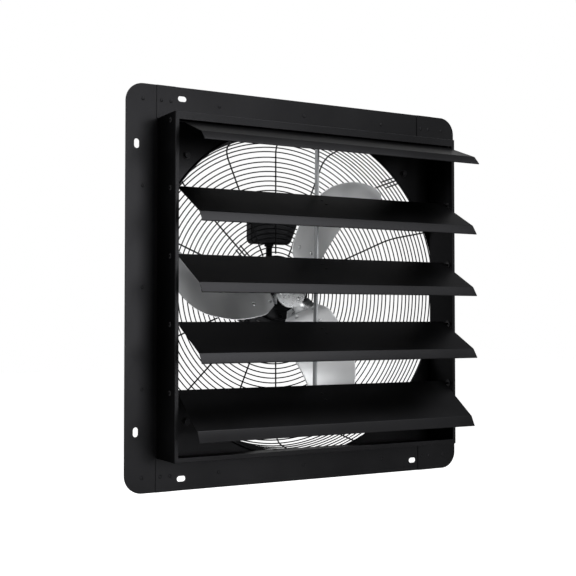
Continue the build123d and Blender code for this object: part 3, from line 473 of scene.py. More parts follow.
def moulded_plastic(name, colour, roughness):
    """Moulded black plastic with a fine grain."""
    material, nodes, links, shader = new_material(name)
    set_inputs(shader, {"Specular IOR Level": 0.15})
    grain = object_noise(nodes, links, scale=1200.0, detail=3.0)
    tint(nodes, links, grain, shader, colour, (0.9, 1.1))
    vary(nodes, links, grain, shader, roughness - 0.05, roughness + 0.05)
    add_bump(nodes, links, grain, shader, strength=0.1, distance=0.2 * MM)
    return material


FINISHES = {}


def finish(name):
    """A finish by its name, made when it is first asked for."""
    if name not in FINISHES:
        looks = bpy.context.scene.fan_finishes
        coat, zinc = list(looks.coat_colour), list(looks.zinc_colour)
        enamel, laminations = [1.6 * c for c in coat], [0.5 * c for c in zinc]
        blade, bar = list(looks.blade_colour), list(looks.bar_colour)
        gloss = looks.coat_roughness
        rolled, even = (1.0, 0.4, 1.0), (1.0, 1.0, 1.0)
        drawn, stacked = (1.0, 1.0, 0.05), (0.05, 1.0, 0.05)
        # Maker, name, colour and roughness, then the scale, stretch and bump of the streaks
        maker, *values = {
            "sheet coat": (powder_coat, "Satin black sheet coat", coat, gloss),
            "wire coat": (powder_coat, "Satin black wire coat", coat, gloss),
            "motor enamel": (powder_coat, "Black motor enamel", enamel, 0.36),
            "plastic": (moulded_plastic, "Black moulded plastic", enamel, 0.5),
            "blade aluminium": (
                rolled_metal, "Rolled blade aluminium", blade, 0.42, 14.0, rolled, 0.02
            ),
            "zinc": (rolled_metal, "Zinc plated steel", zinc, 0.28, 90.0, even, 0.012),
            "dull zinc": (rolled_metal, "Dull tie bar steel", bar, 0.5, 400.0, drawn),
            "laminations": (rolled_metal, "Motor laminations", laminations, 0.5, 900.0, stacked),
        }[name]
        FINISHES[name] = maker(*values)
    return FINISHES[name]


def dress_node(node, name):
    """Gives a CAD node its finish."""
    slots = NODES[node].data.materials
    slots.clear()
    slots.append(finish(name))


# Places that several pieces share

LOUVERS = range(1, 6)
PIVOT = np.array((0.0, -60.4 * MM, 284.0 * MM))
PIVOT_PITCH = 116.1 * MM
LOUVER_SLOPES = [radians(a) for a in (20.0, 28.6, 28.6, 28.6, 35.8)]
DIAGONALS = np.radians(45 + 90 * np.arange(4))
FOOT_CIRCLE = 335.16 * MM
MOUNT_CIRCLE = 81.9 * MM
MOTOR_FRONT = 88.9 * MM
MOTOR_BACK = 198.9 * MM
SCREW_RADIUS = 4.0 * MM
SCREW_HEIGHT = 2.6 * MM

# The blades: places along one, and its edges there, in shares of its radius
BLADE_AZIMUTHS = np.radians(60 + 120 * np.arange(3))
STATIONS = [0.16, 0.205, 0.30, 0.43, 0.56, 0.665, 0.77, 0.825, 0.875, 0.908, 0.928]
REAR_EDGE = [0.10, 0.147, 0.178, 0.192, 0.178, 0.15, 0.085, 0.03, -0.038, -0.11, -0.19]
FORE_EDGE = [-0.10, -0.13, -0.15, -0.155, -0.16, -0.18, -0.235, -0.27, -0.305, -0.305, -0.262]
BLADE_FRONT = 27.3 * MM
RIVETS_ALONG = np.array((0.177, 0.28, 0.184, 0.318))
RIVETS_ACROSS = np.array((0.075, 0.089, -0.034, -0.041))


def radial(azimuth):
    """The unit vector from the shaft at an azimuth, and the one a quarter turn on."""
    azimuth = np.asarray(azimuth)
    zero = np.zeros_like(azimuth)
    return (
        np.stack([np.cos(azimuth), zero, np.sin(azimuth)], axis=-1),
        np.stack([-np.sin(azimuth), zero, np.cos(azimuth)], axis=-1),
    )


def round_outline(corners, radius):
    """An outline whose corners give way to parabolas that touch both edges at the radius."""
    ways = [unit(np.roll(corners, shift, axis=0) - corners) for shift in (1, -1)]
    starts, ends = [(corners + radius * way)[:, None] for way in ways]
    t = np.linspace(0, 1, 6)[None, :, None]
    curves = (1 - t) ** 2 * starts + 2 * t * (1 - t) * corners[:, None] + t**2 * ends
    return curves.reshape(-1, 2)


def hexagon(radius):
    """The corners of a hexagon round its middle."""
    angle = (np.arange(6) + 0.5) * 2 * pi / 6
    return radius * np.stack([np.cos(angle), np.sin(angle)], axis=1)


def louver_axes(number):
    """A louver's pivot, the way down its blade and the way out of its upper face."""
    slope = LOUVER_SLOPES[number - 1]
    origin = PIVOT - (number - 1) * PIVOT_PITCH * Z_AXIS
    down = np.array((0.0, -cos(slope), -sin(slope)))
    out = np.array((0.0, -sin(slope), cos(slope)))
    return origin, down, out


# Pieces


class FAN_OT_sheet_finishes(Operator):
    """Gives the CAD nodes that keep their own shape their finishes"""

    bl_idname = "fan.sheet_finishes"
    bl_label = "Sheet finishes"

    def execute(self, context):
        for body_nodes in frame["record"]["behaviour"]["bodies"].values():
            for node in body_nodes:
                dress_node(node, "sheet coat")
        others = {
            "motor enamel": ["motor_mount_plate"],
            "laminations": ["motor_stator", "rotor_core"],
            "zinc": ["front_bearing", "rear_bearing", "shaft", "hub", "spider", "set_screw"],
            "dull zinc": ["tie_bar"],
            "wire coat": [f"louver_{number}_pins" for number in LOUVERS],
        }
        for name, nodes in others.items():
            for node in nodes:
                dress_node(node, name)
        return {"FINISHED"}


def louver_section(sizes):
    """A louver's sheet in section: a line down the blade, the bend, the lip and its folded hem.

    The middle of the sheet is followed down and the section is half a sheet to each side of it.
    Its columns lie down the blade and out of its upper face.
    """
    sheet, bend, radius = sizes.louver_sheet, sizes.lip_bend, sizes.bend_radius
    rear, middle, hem_width = -4.0 * MM, 2.5 * MM, 4.0 * MM
    turn_count, hook_count = 7, 9
    fold = 0.55 * sheet
    lip_dir = np.array((cos(bend), -sin(bend)))
    lip_out = np.array((sin(bend), cos(bend)))
    bend_start = np.array((sizes.louver_blade - radius * tan(bend / 2), middle))
    turn = arc(bend_start - (0.0, radius), radius, pi / 2, pi / 2 - bend, turn_count)
    tip = (sizes.louver_blade, middle) + lip_dir * (sizes.louver_lip - 0.5 * sheet - fold)
    angle = np.linspace(0, pi, hook_count)[:, None]
    hook = tip - lip_out * fold + fold * (np.cos(angle) * lip_out + np.sin(angle) * lip_dir)
    hem = tip - 2 * fold * lip_out - lip_dir * hem_width
    line = np.concatenate([[(rear, middle)], turn, hook, [hem]])
    tangent = np.gradient(line, axis=0)
    tangent[1] = (1.0, 0.0)
    tangent[[turn_count, turn_count + 1]] = lip_dir
    tangent[[-2, -1]] = -lip_dir
    side = unit(tangent)[:, ::-1] * (-1, 1) * sheet / 2
    return np.concatenate([line + side, (line - side)[::-1]]), len(line)


class FAN_OT_louvers(Operator):
    """Builds the five louvers with rounded bends and folded hems"""

    bl_idname = "fan.louvers"
    bl_label = "Louvers"

    def execute(self, context):
        sizes = context.scene.fan_shutter
        section, half = louver_section(sizes)
        ends = np.array((-0.5, 0.5)) * sizes.louver_length
        for number in LOUVERS:
            origin, down, out = louver_axes(number)
            flat = origin + section[:, :1] * down + section[:, 1:] * out
            points = np.concatenate([flat + end * X_AXIS for end in ends])
            make_piece(
                f"louver_sheet_{number}", outward(points, strip_faces(2, half)),
                finish("sheet coat"), f"louver_{number}", [f"louver_{number}"],
                SHEET_SMOOTH_ANGLE
            )
        return {"FINISHED"}


def blind_rivet(radius, height):
    """A blind rivet's head, turned: a low dome with a small pit where its mandrel broke off."""
    profile = (radius, height) * np.array([
        (0.96, 0.0), (1.0, 0.18), (0.93, 0.45), (0.78, 0.72), (0.58, 0.92), (0.36, 1.0),
        (0.3, 0.92), (0.276, 0.55), (0.05, 0.5),
    ])
    return lathe(profile, ORIGIN, Z_AXIS, X_AXIS, segments=20)


def solid_rivet(radius, height, shank, grip):
    """A solid rivet, turned: a shank through the sheets and a round dome on top."""
    rim, pole = 0.15, pi / 2 - 0.08
    angle = np.linspace(rim, pole, 7)
    dome = np.stack([radius * np.cos(angle), height * np.sin(angle)], axis=1)
    profile = np.concatenate([[(shank, -grip), (shank, 0.0), (0.97 * radius, 0.0)], dome])
    return lathe(profile, ORIGIN, Z_AXIS, X_AXIS, segments=20)


def screw_head(radius, height):
    """A pan head screw's head, turned: a rounded rim, a flat top and a recess for the driver."""
    profile = (radius, height) * np.array([
        (0.96, 0.0), (1.0, 0.2), (0.97, 0.6), (0.85, 0.9), (0.7, 1.0), (0.42, 1.0), (0.36, 0.94),
        (0.2, 0.45), (0.02, 0.4),
    ])
    return lathe(profile, ORIGIN, Z_AXIS, X_AXIS, segments=24)


class FAN_OT_louver_fittings(Operator):
    """Builds the crank rivets of the louvers and the flanged bushes of their pivots"""

    bl_idname = "fan.louver_fittings"
    bl_label = "Louver fittings"

    def execute(self, context):
        head = solid_rivet(radius=3.0 * MM, height=0.8 * MM, shank=1.55 * MM, grip=2.5 * MM)
        aside, upper_face, rows = -7.0 * MM, 3.0 * MM, (20.6 * MM, 38.0 * MM)
        for number in LOUVERS:
            origin, down, out = louver_axes(number)
            places = [origin + aside * X_AXIS + row * down + upper_face * out for row in rows]
            make_piece(
                f"crank_rivets_{number}", copied(head, places, -X_AXIS, down, out),
                finish("sheet coat"), f"louver_{number}", [f"louver_{number}_rivets"]
            )
        profile = MM * np.array([
            (2.1, 293.9), (6.1, 293.9), (6.5, 294.3), (6.5, 295.0), (6.1, 295.4), (4.5, 295.4),
            (4.5, 297.4), (4.1, 297.8), (2.1, 297.8),
        ])
        bushes = [
            lathe(profile, louver_axes(number)[0], side * X_AXIS, Z_AXIS, segments=32, ring=True)
            for side in (-1, 1) for number in LOUVERS
        ]
        make_piece(
            "pivot_bush_set", joined(bushes), finish("plastic"), "frame",
            ["pivot_bushes"]
        )
        return {"FINISHED"}


class FAN_OT_flange_rivets(Operator):
    """Builds the blind rivets of the flange"""

    bl_idname = "fan.flange_rivets"
    bl_label = "Flange rivets"

    def execute(self, context):
        head = blind_rivet(context.scene.fan_shutter.rivet_radius, 1.0 * MM)
        row, column, middles = 328.6 * MM, 324.2 * MM, (-176.8 * MM, 0.0, 176.8 * MM)
        tab_face, rim_face, tab_columns = -3.9 * MM, -2.7 * MM, (290.0 * MM, 272.0 * MM)
        corners = [(side, level) for side in (-1, 1) for level in (-1, 1)]
        tabs = [
            (side * x, tab_face, level * row) for side, level in corners for x in tab_columns
        ]
        rim = [(x, rim_face, level * row) for level in (-1, 1) for x in middles]
        rim += [(side * column, rim_face, z) for side in (-1, 1) for z in middles]
        rim += [(side * column, rim_face, level * row) for side, level in corners]
        for name, places in (("tab_rivets", tabs), ("flange_rivets", rim)):
            shape = copied(head, places, X_AXIS, Z_AXIS, -Y_AXIS)
            make_piece(
                f"{name}_heads", shape, finish("sheet coat"), "frame", [name]
            )
        return {"FINISHED"}


def guard_wall(sizes, depth, shift):
    """Radius of the guard's wall at a depth: a line that leans on from the rolled corner's end.

    It is moved inwards by the shift, square to the wall.
    """
    corner, lean = sizes.corner, sizes.lean
    top_radius = sizes.face_edge + corner * cos(lean)
    top_depth = sizes.reach - corner + corner * sin(lean)
    return top_radius + (top_depth - depth) * tan(lean) - shift / cos(lean)


def guard_rings(sizes):
    """Rings of wire, each radius * out + depth * Y: those of the flat face, and those of the wall.

    They lie on the outside of the spokes: on the face, round the corner's arc and down the wall.
    """
    wire, pitch, lean = sizes.ring_wire / 2, sizes.ring_pitch, sizes.lean
    corner_rings, front_ring, ring_points = 5, 12.3 * MM, 128
    out, _ = radial(np.linspace(0, 2 * pi, ring_points, endpoint=False))

    def hoop(radius, depth):
        """A ring round the shaft's line."""
        return tube(radius * out + depth * Y_AXIS, Y_AXIS, wire, closed=True)

    count = int((sizes.face_edge - sizes.first_ring) / pitch) + 1
    face = [hoop(sizes.first_ring + k * pitch, sizes.reach + wire) for k in range(count)]

    angles = (pi / 2 - lean) * (np.arange(corner_rings) + 0.5) / corner_rings
    seat, corner_depth = sizes.corner + wire, sizes.reach - sizes.corner
    wall = [hoop(sizes.face_edge + seat * sin(a), corner_depth + seat * cos(a)) for a in angles]
    step = pitch * cos(lean)
    depths = np.arange(corner_depth + sizes.corner * sin(lean) - step / 2, front_ring, -step)
    wall += [hoop(guard_wall(sizes, depth, -wire), depth) for depth in depths]
    return face, wall


def guard_spokes(sizes):
    """Radial wires: straight over the face, round the corner in an arc and straight down the wall.

    Those on the diagonals start further out, between the legs of the mount's loops.
    """
    wire, foot = sizes.spoke_wire / 2, 10.1 * MM
    spoke_start, diagonal_start = 74.0 * MM, 94.9 * MM
    corner = (sizes.face_edge, sizes.reach - sizes.corner)
    bend = arc(corner, sizes.corner - wire, pi / 2, sizes.lean, 13)
    end = (guard_wall(sizes, foot, wire), foot)
    spokes = []
    for azimuth in np.arange(sizes.spokes) * 2 * pi / sizes.spokes:
        diagonal = abs(sin(2 * azimuth)) > 0.9
        start = (diagonal_start if diagonal else spoke_start, sizes.reach - wire)
        line = np.concatenate([[start], bend, [end]])
        out, across = radial(azimuth)
        spokes.append(tube(line[:, :1] * out + line[:, 1:] * Y_AXIS, across, wire, sides=10))
    return spokes


def guard_loops(sizes):
    """Wires that are half a circle round a bolt, with a straight leg on each side.

    The feet's legs come down the wall and turn outwards to the bolt in an arc. The mount's legs
    lie along the face.
    """
    wire, lean = sizes.spoke_wire / 2, sizes.lean
    loop_half, foot_half = 8.0 * MM - wire, 9.2 * MM - wire
    loop_bow = arc((0, 0), loop_half, -pi / 2, pi / 2, 13)
    foot_bow = loop_bow * foot_half / loop_half
    foot_depth, loop_depth = 8.5 * MM + wire, sizes.reach - wire
    leg_top, loop_end, knee_radius = 47.0 * MM, 118.0 * MM, 4.0 * MM
    knee_start = guard_wall(sizes, foot_depth + knee_radius * (1 - sin(lean)), wire)
    knee_centre = (knee_start + knee_radius * cos(lean), foot_depth + knee_radius)
    knee = arc(knee_centre, knee_radius, pi + lean, 3 * pi / 2, 7)
    leg = np.concatenate([[(guard_wall(sizes, leg_top, wire), leg_top)], knee])
    feet, loops = [], []
    for azimuth in DIAGONALS:
        out, across = radial(azimuth)
        for side in (-1, 1):
            line = leg[:, :1] * out + leg[:, 1:] * Y_AXIS + side * foot_half * across
            feet.append(tube(line, across, wire))
        for bow, centre, end, depth, half, group in (
            (foot_bow, FOOT_CIRCLE, knee[-1, 0], foot_depth, foot_half, feet),
            (loop_bow * (-1, 1), MOUNT_CIRCLE, loop_end, loop_depth, loop_half, loops),
        ):
            level = depth * Y_AXIS
            turn = centre * out + level + bow[:, :1] * out + bow[:, 1:] * across
            first, last = [end * out + level + side * half * across for side in (-1, 1)]
            group.append(tube(np.concatenate([[first], turn, [last]]), Y_AXIS, wire))
    return feet, loops


class FAN_OT_wire_guard(Operator):
    """Builds the rings, the spokes and the loops of the wire guard from round wire"""

    bl_idname = "fan.wire_guard"
    bl_label = "Wire guard"

    def execute(self, context):
        sizes = context.scene.fan_guard
        face, wall = guard_rings(sizes)
        feet, loops = guard_loops(sizes)
        for name, wires, node in (
            ("guard_face_hoops", face, "guard_face_rings"),
            ("guard_wall_hoops", wall, "guard_wall_rings"),
            ("guard_spoke_wires", guard_spokes(sizes), "guard_spokes"),
            ("guard_foot_loops", feet, "guard_feet"),
            ("guard_motor_loops", loops, "guard_mount_loops"),
        ):
            make_piece(name, joined(wires), finish("wire coat"), "frame", [node])
        return {"FINISHED"}


def blade_edges(place, sizes):
    """How far across a blade's rear and fore edges lie at a place along it."""
    edges = REAR_EDGE, FORE_EDGE
    return [smooth_line(place, STATIONS, edge) * sizes.blade_radius for edge in edges]


def blade_depth(place, across, sizes):
    """Depth of a blade's front: a slope from its rear edge at the pitch, and a bow of camber.

    The pitch changes evenly along the blade, and the bow is a parabola over the chord.
    """
    rear, fore = blade_edges(place, sizes)
    along = (place - STATIONS[0]) / (STATIONS[-1] - STATIONS[0])
    pitch = sizes.root_pitch + (sizes.tip_pitch - sizes.root_pitch) * along
    chord = rear - fore
    part = (rear - across) / chord
    camber = 4 * sizes.camber * chord * part * (1 - part)
    return BLADE_FRONT + (rear - across) * np.tan(pitch) + camber


def on_blade(place, across, depth, azimuth, sizes):
    """Points of a blade from their shares along it, their ways across it and their depths."""
    out, turn = radial(azimuth)
    along = place[..., None] * sizes.blade_radius
    return along * out + across[..., None] * turn + depth[..., None] * Y_AXIS


def blade_shape(azimuth, sizes):
    """A blade: a grid along its length and round its section, whose faces are a sheet apart."""
    rows, half = 61, 29
    place = np.linspace(STATIONS[0], STATIONS[-1], rows)[:, None]
    rear, fore = blade_edges(place, sizes)
    across = rear + (fore - rear) * (1 - np.cos(np.linspace(0, pi, half))) / 2
    front = blade_depth(place, across, sizes)
    # Both faces draw in over the last two points at either edge
    from_edge = np.minimum(np.arange(half), np.arange(half)[::-1])
    round_off = 0.3 * sizes.blade_sheet * (1 - np.minimum(1.0, 0.5 * from_edge))
    back = front + sizes.blade_sheet - round_off
    across = np.concatenate([across, across[:, ::-1]], axis=1)
    depth = np.concatenate([front + round_off, back[:, ::-1]], axis=1)
    points = on_blade(place, across, depth, azimuth, sizes)
    return outward(points.reshape(-1, 3), strip_faces(rows, half))


class FAN_OT_fan_blades(Operator):
    """Builds the three cambered blades"""

    bl_idname = "fan.fan_blades"
    bl_label = "Fan blades"

    def execute(self, context):
        sizes = context.scene.fan_rotor
        for number, azimuth in enumerate(BLADE_AZIMUTHS, start=1):
            make_piece(
                f"blade_sheet_{number}", blade_shape(azimuth, sizes), finish("blade aluminium"),
                "rotor", [f"fan_blade_{number}"], SHEET_SMOOTH_ANGLE
            )
        return {"FINISHED"}


class FAN_OT_rotor_rivets(Operator):
    """Builds the domed rivets of the blades and of the hub"""

    bl_idname = "fan.rotor_rivets"
    bl_label = "Rotor rivets"

    def execute(self, context):
        sizes = context.scene.fan_rotor
        rivet = solid_rivet(radius=4.2 * MM, height=1.3 * MM, shank=2.3 * MM, grip=5.2 * MM)
        hub_turn, hub_circle, hub_face = radians(-105.0), 22.5 * MM, 46.0 * MM
        place, across = RIVETS_ALONG, RIVETS_ACROSS * sizes.blade_radius
        # The blade's slope at a rivet comes from its depth a little further on
        share = 0.002
        step = share * sizes.blade_radius
        depth = blade_depth(place, across, sizes)
        rise_along = (blade_depth(place + share, across, sizes) - depth) / step
        rise_across = (blade_depth(place, across + step, sizes) - depth) / step
        blade_heads, hub_heads = [], []
        for azimuth in BLADE_AZIMUTHS:
            out, turn = radial(azimuth)
            seats = on_blade(place, across, depth, azimuth, sizes)
            facing = unit(rise_along[:, None] * out + rise_across[:, None] * turn - Y_AXIS)
            aside = unit(np.cross(facing, out))
            blade_heads.append(copied(rivet, seats, aside, np.cross(facing, aside), facing))
            hub_way, _ = radial(azimuth + hub_turn)
            seat = hub_circle * hub_way + hub_face * Y_AXIS
            hub_heads.append(copied(rivet, [seat], X_AXIS, Z_AXIS, -Y_AXIS))
        for name, heads in (("blade_rivet", blade_heads), ("hub_rivet", hub_heads)):
            make_piece(
                f"{name}_heads", joined(heads), finish("zinc"), "rotor", [f"{name}s"]
            )
        return {"FINISHED"}


def thread_line(root, crest, start, pitch, count):
    """A thread's outline, a zigzag: root and crest in turn, half a pitch further each time."""
    k = np.arange(count)
    return np.stack([np.where(k % 2, crest, root), start + pitch / 2 * k], axis=1)


def bolt_shape(front, back):
    """A bolt along its depth: a hexagon on a washer in front, a nut on a washer behind.

    The shank and its thread are turned, the washers are turned rings, and the hexagons' edges are
    cut off.
    """
    washer, head, nut, tip, bevel = 1.6 * MM, 4.0 * MM, 4.5 * MM, 3.0 * MM, 0.5 * MM
    outline = hexagon(5.8 * MM)
    plate = MM * np.array([(2.9, 0.0), (7.1, 0.0), (7.4, 0.3), (7.4, 1.3), (7.1, 1.6), (2.9, 1.6)])
    under_head, far = front - washer, back + washer + nut
    thread = MM * thread_line(root=2.6, crest=3.0, start=-2.0, pitch=1.0, count=10)
    shank = np.concatenate(
        [[(3.0 * MM, under_head - washer)], thread + (0.0, far), [(2.2 * MM, far + tip)]]
    )
    return joined([
        lathe(shank, ORIGIN, Z_AXIS, X_AXIS, segments=20),
        lathe(plate + (0.0, under_head), ORIGIN, Z_AXIS, X_AXIS, segments=32, ring=True),
        lathe(plate + (0.0, back), ORIGIN, Z_AXIS, X_AXIS, segments=32, ring=True),
        prism(outline, ORIGIN, *np.eye(3), under_head - head, under_head, bevel),
        prism(outline, ORIGIN, *np.eye(3), back + washer, far, bevel),
    ])


class FAN_OT_bolts(Operator):
    """Builds the bolts of the guard's feet and of the motor's mount"""

    bl_idname = "fan.bolts"
    bl_label = "Bolts"

    def execute(self, context):
        out, across = radial(DIAGONALS)
        for name, circle, front, back, node in (
            ("foot_bolt_set", FOOT_CIRCLE, 7.0 * MM, 11.5 * MM, "guard_bolts"),
            ("mount_bolt_set", MOUNT_CIRCLE, 103.4 * MM, 111.3 * MM, "motor_mount_bolts"),
        ):
            shape = copied(bolt_shape(front, back), circle * out, across, out, Y_AXIS)
            make_piece(
                name, shape, finish("motor enamel"), "frame", [node],
                BOLT_SMOOTH_ANGLE
            )
        return {"FINISHED"}


def bell_profile(radius, back, face, way):
    """An end bell in section, a loop of radii and depths in millimetres.

    It goes by the bore, a raised boss, a shallow ring groove, a flat face and a round rim, an arc.
    The way is 1 for a face that looks forward, and -1 for one that looks back.
    """
    bore, boss_edge, boss, groove, rim = 6.7, 22.9, 3.0, 0.7, 5.0
    edge = arc((0, 0), 1.0, 0, pi / 2, 7)[::-1]
    return [
        (bore, back), (bore, face - way * boss), (boss_edge, face - way * boss),
        (24.0, face - way * 1.9), (24.3, face - way * 0.5), (25.2, face), (38.0, face),
        (38.6, face + way * groove), (40.4, face + way * groove), (41.0, face),
        *[(radius - rim + rim * x, face + way * (rim - rim * y)) for x, y in edge],
        (radius, back - way * 0.4), (radius - 0.5, back),
    ]


class FAN_OT_motor(Operator):
    """Builds the motor's shell, its two end bells and their screws as turned forms"""

    bl_idname = "fan.motor"
    bl_label = "Motor"

    def execute(self, context):
        shell = [
            (67.5, 105.9), (69.9, 105.9), (70.5, 106.5), (70.5, 112.0), (70.1, 112.6),
            (70.1, 114.0), (70.5, 114.6), (70.5, 177.2), (70.1, 177.8), (70.1, 179.2),
            (70.5, 179.8), (70.5, 185.3), (69.9, 185.9), (67.5, 185.9),
        ]
        front_bell = bell_profile(58.0, 103.4, MOTOR_FRONT / MM, 1)
        rear_bell = bell_profile(70.5, 185.9, MOTOR_BACK / MM, -1)
        for name, profile, segments, node in (
            ("motor_front_bell_casting", front_bell, 72, "motor_front_bell"),
            ("motor_rear_bell_casting", rear_bell, 72, "motor_rear_bell"),
            ("motor_shell_drawn", shell, 96, "motor_shell"),
        ):
            shape = lathe(MM * np.array(profile), ORIGIN, Y_AXIS, X_AXIS, segments, ring=True)
            make_piece(name, shape, finish("motor enamel"), "frame", [node])

        head = screw_head(SCREW_RADIUS, SCREW_HEIGHT)
        out, _ = radial(np.arange(4) * pi / 2)
        front_circle, rear_circle = 50.0 * MM, 61.8 * MM
        heads = [
            copied(head, front_circle * out + MOTOR_FRONT * Y_AXIS, X_AXIS, Z_AXIS, -Y_AXIS),
            copied(head, rear_circle * out + MOTOR_BACK * Y_AXIS, Z_AXIS, X_AXIS, Y_AXIS),
        ]
        make_piece(
            "motor_screw_heads", joined(heads), finish("wire coat"), "frame",
            ["motor_screws"]
        )
        return {"FINISHED"}


class FAN_OT_wiring(Operator):
    """Builds the wiring box, its cover and screws, the conduit nipple and the cable gland"""

    bl_idname = "fan.wiring"
    bl_label = "Wiring box"

    def execute(self, context):
        box_front, box_back = 125.3 * MM, 143.2 * MM
        cover_front, cover_back = 143.3 * MM, 145.3 * MM
        dirs = Y_AXIS, X_AXIS, Z_AXIS
        outline = round_outline(MM * np.array([
            (-39.5, 94.5), (39.5, 94.5), (45.5, 100.5), (67.0, 152.0), (-45.5, 152.0),
            (-45.5, 100.5),
        ]), 3.0 * MM)
        for name, low, high, bevel, node in (
            ("wiring_box_drawn", box_front, box_back, 1.2 * MM, "wiring_box"),
            ("wiring_cover_plate", cover_front, cover_back, 0.6 * MM, "wiring_cover"),
        ):
            shape = prism(outline, ORIGIN, X_AXIS, Z_AXIS, Y_AXIS, low, high, bevel)
            make_piece(name, shape, finish("motor enamel"), "frame", [node])
        places = [(x * MM, cover_back, 142.0 * MM) for x in (-35.5, 57.0)]
        heads = copied(screw_head(SCREW_RADIUS, SCREW_HEIGHT), places, Z_AXIS, X_AXIS, Y_AXIS)

        thread = MM * thread_line(root=6.0, crest=6.5, start=70.5, pitch=2.0, count=29)
        centre = 135.3 * MM * Y_AXIS
        nipple = joined([
            lathe(thread, centre, Z_AXIS, X_AXIS, segments=40),
            prism(hexagon(10.5 * MM), centre, *dirs, 90.0 * MM, 94.4 * MM, 0.7 * MM),
        ])
        profile = MM * np.array([
            (7.0, 148.0), (7.0, 161.4), (6.6, 162.6), (6.1, 163.4), (5.9, 165.4), (5.4, 166.0),
            (4.7, 166.0), (4.5, 165.6), (4.5, 156.0), (0.2, 156.0),
        ])
        centre = 134.3 * MM * Y_AXIS
        gland = joined([
            lathe(profile, centre, Z_AXIS, X_AXIS, segments=40),
            prism(hexagon(8.8 * MM), centre, *dirs, 152.0 * MM, 157.0 * MM, 0.6 * MM),
        ])
        for name, shape, look, slot, node in (
            ("cover_screw_heads", heads, "wire coat", "bare_steel", "cover_screws"),
            ("conduit_nipple", nipple, "wire coat", "bare_steel", "wiring_nipple"),
            ("gland_body", gland, "plastic", "black_plastic", "cable_gland"),
        ):
            make_piece(name, shape, finish(look), "frame", [node])
        return {"FINISHED"}


def calculate(nodes, links, operation, first, second):
    """The result of a math node from a socket and a second value, a socket or a number."""
    node = nodes.new("ShaderNodeMath")
    node.operation = operation
    links.new(first, node.inputs[0])
    if isinstance(second, float):
        node.inputs[1].default_value = second
    else:
        links.new(second, node.inputs[1])
    return node.outputs[0]


def set_camera(scene, settings):
    """The camera, at the photograph's angle."""
    camera = bpy.data.cameras.new("Camera")
    camera.lens = settings.lens
    camera.sensor_width = 36.0
    camera.clip_start, camera.clip_end = 0.05, 60.0
    view = bpy.data.objects.new("Camera", camera)
    facing = Vector((0.49237, 0.86985, 0.03045))
    view.location = (-1.00009, -1.70867, -0.05674)
    view.rotation_euler = facing.to_track_quat("-Z", "Y").to_euler()
    scene.collection.objects.link(view)
    scene.camera = view


def light_backdrop(scene, settings):
    """The backdrop: white where it is seen, also in metal, and a plain soft light elsewhere."""
    world = bpy.data.worlds.new("Studio")
    scene.world = world
    world.use_nodes = True
    nodes, links = world.node_tree.nodes, world.node_tree.links
    background = nodes["Background"]
    set_inputs(background, {"Color": (1.0, 1.0, 1.0, 1.0)})
    rays = nodes.new("ShaderNodeLightPath").outputs
    seen = calculate(nodes, links, "MAXIMUM", rays["Is Camera Ray"], rays["Is Glossy Ray"])
    seen = calculate(nodes, links, "MAXIMUM", seen, rays["Is Transmission Ray"])
    strength = nodes.new("ShaderNodeMapRange")
    set_inputs(strength, {"To Min": settings.ambient, "To Max": 1.0})
    links.new(seen, strength.inputs["Value"])
    links.new(strength.outputs["Result"], background.inputs["Strength"])


def lay_floor(scene, settings):
    """The floor: pale, and lifted to white for the camera outside the object's shadow."""
    reach, floor_glow = 12.0, 0.77
    corners = [(-reach, -reach), (reach, -reach), (reach, reach), (-reach, reach)]
    mesh = bpy.data.meshes.new("floor")
    mesh.from_pydata([(x, y, settings.floor_height) for x, y in corners], [], [(0, 1, 2, 3)])
    floor = bpy.data.objects.new("floor", mesh)
    scene.collection.objects.link(floor)
    material, nodes, links, shader = new_material("Pale floor")
    pale = (0.8, 0.8, 0.8, 1.0)
    set_inputs(shader, {"Base Color": pale, "Roughness": 0.9, "Specular IOR Level": 0.1})
    glow = nodes.new("ShaderNodeEmission")
    rays = nodes.new("ShaderNodeLightPath").outputs
    strength = calculate(nodes, links, "MULTIPLY", rays["Is Camera Ray"], floor_glow)
    links.new(strength, glow.inputs["Strength"])
    both = nodes.new("ShaderNodeAddShader")
    links.new(shader.outputs[0], both.inputs[0])
    links.new(glow.outputs[0], both.inputs[1])
    links.new(both.outputs[0], nodes["Material Output"].inputs["Surface"])
    mesh.materials.append(material)


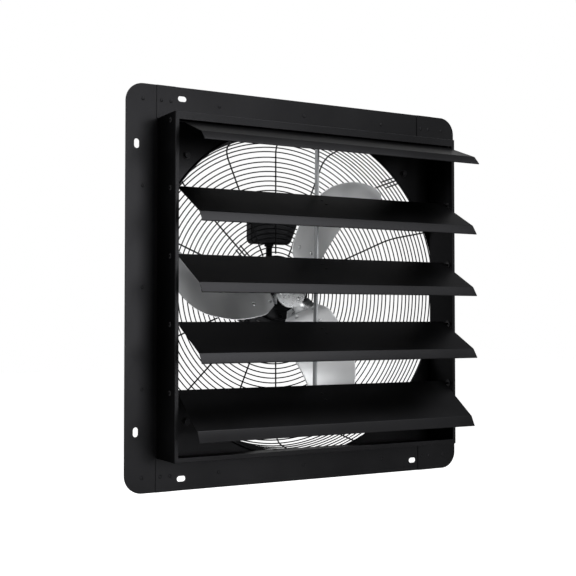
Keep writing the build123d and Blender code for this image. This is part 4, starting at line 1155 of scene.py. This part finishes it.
def hang_lamps(scene, settings):
    """Four square lamps that face the middle of the object."""
    for name, power, size, place in (
        ("Key light", settings.key_power, 1.3, (0.95, -1.3, 2.5)),
        ("Front light", settings.front_power, 1.1, (0.5, -2.95, 0.25)),
        ("Side light", settings.side_power, 1.6, (-2.2, -1.5, 1.2)),
        ("Rear light", settings.rear_power, 1.6, (-0.8, 2.3, 1.9)),
    ):
        light = bpy.data.lights.new(name, "AREA")
        light.energy = power
        light.size = size
        lamp = bpy.data.objects.new(name, light)
        lamp.location = place
        lamp.rotation_euler = (-Vector(place)).to_track_quat("-Z", "Y").to_euler()
        scene.collection.objects.link(lamp)


class FAN_OT_studio(Operator):
    """Builds the floor, the lights, the backdrop colour and the camera"""

    bl_idname = "fan.studio"
    bl_label = "Studio"

    def execute(self, context):
        scene = context.scene
        scene.view_settings.view_transform = "Standard"
        for part in (set_camera, light_backdrop, lay_floor, hang_lamps):
            part(scene, scene.fan_studio)
        return {"FINISHED"}


STEPS = (
    FAN_OT_studio, FAN_OT_sheet_finishes, FAN_OT_louvers, FAN_OT_louver_fittings,
    FAN_OT_flange_rivets, FAN_OT_wire_guard, FAN_OT_fan_blades, FAN_OT_rotor_rivets,
    FAN_OT_bolts, FAN_OT_motor, FAN_OT_wiring,
)
GROUPS = {
    "fan_shutter": ShutterSizes,
    "fan_guard": GuardSizes,
    "fan_rotor": RotorSizes,
    "fan_finishes": FanFinishes,
    "fan_studio": StudioSettings,
}


class FAN_PT_panel(Panel):
    """Lists the steps and their settings"""

    bl_idname = "FAN_PT_panel"
    bl_label = "Exhaust Fan"
    bl_space_type = "VIEW_3D"
    bl_region_type = "UI"
    bl_category = "Exhaust Fan"

    def draw(self, context):
        for step in STEPS:
            self.layout.operator(step.bl_idname)
        for name, group in GROUPS.items():
            box = self.layout.box()
            for key in group.__annotations__:
                box.prop(getattr(context.scene, name), key)


def register():
    for group in GROUPS.values():
        bpy.utils.register_class(group)
    for name, group in GROUPS.items():
        setattr(bpy.types.Scene, name, PointerProperty(type=group))
    for step in STEPS:
        bpy.utils.register_class(step)
    bpy.utils.register_class(FAN_PT_panel)


def unregister():
    bpy.utils.unregister_class(FAN_PT_panel)
    for step in reversed(STEPS):
        bpy.utils.unregister_class(step)
    for name in GROUPS:
        delattr(bpy.types.Scene, name)
    for group in reversed(GROUPS.values()):
        bpy.utils.unregister_class(group)


def main():
    """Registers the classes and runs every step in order."""
    register()
    for step in STEPS:
        area, operator = step.bl_idname.split(".")
        getattr(getattr(bpy.ops, area), operator)()


if __name__ == "__main__":
    main()
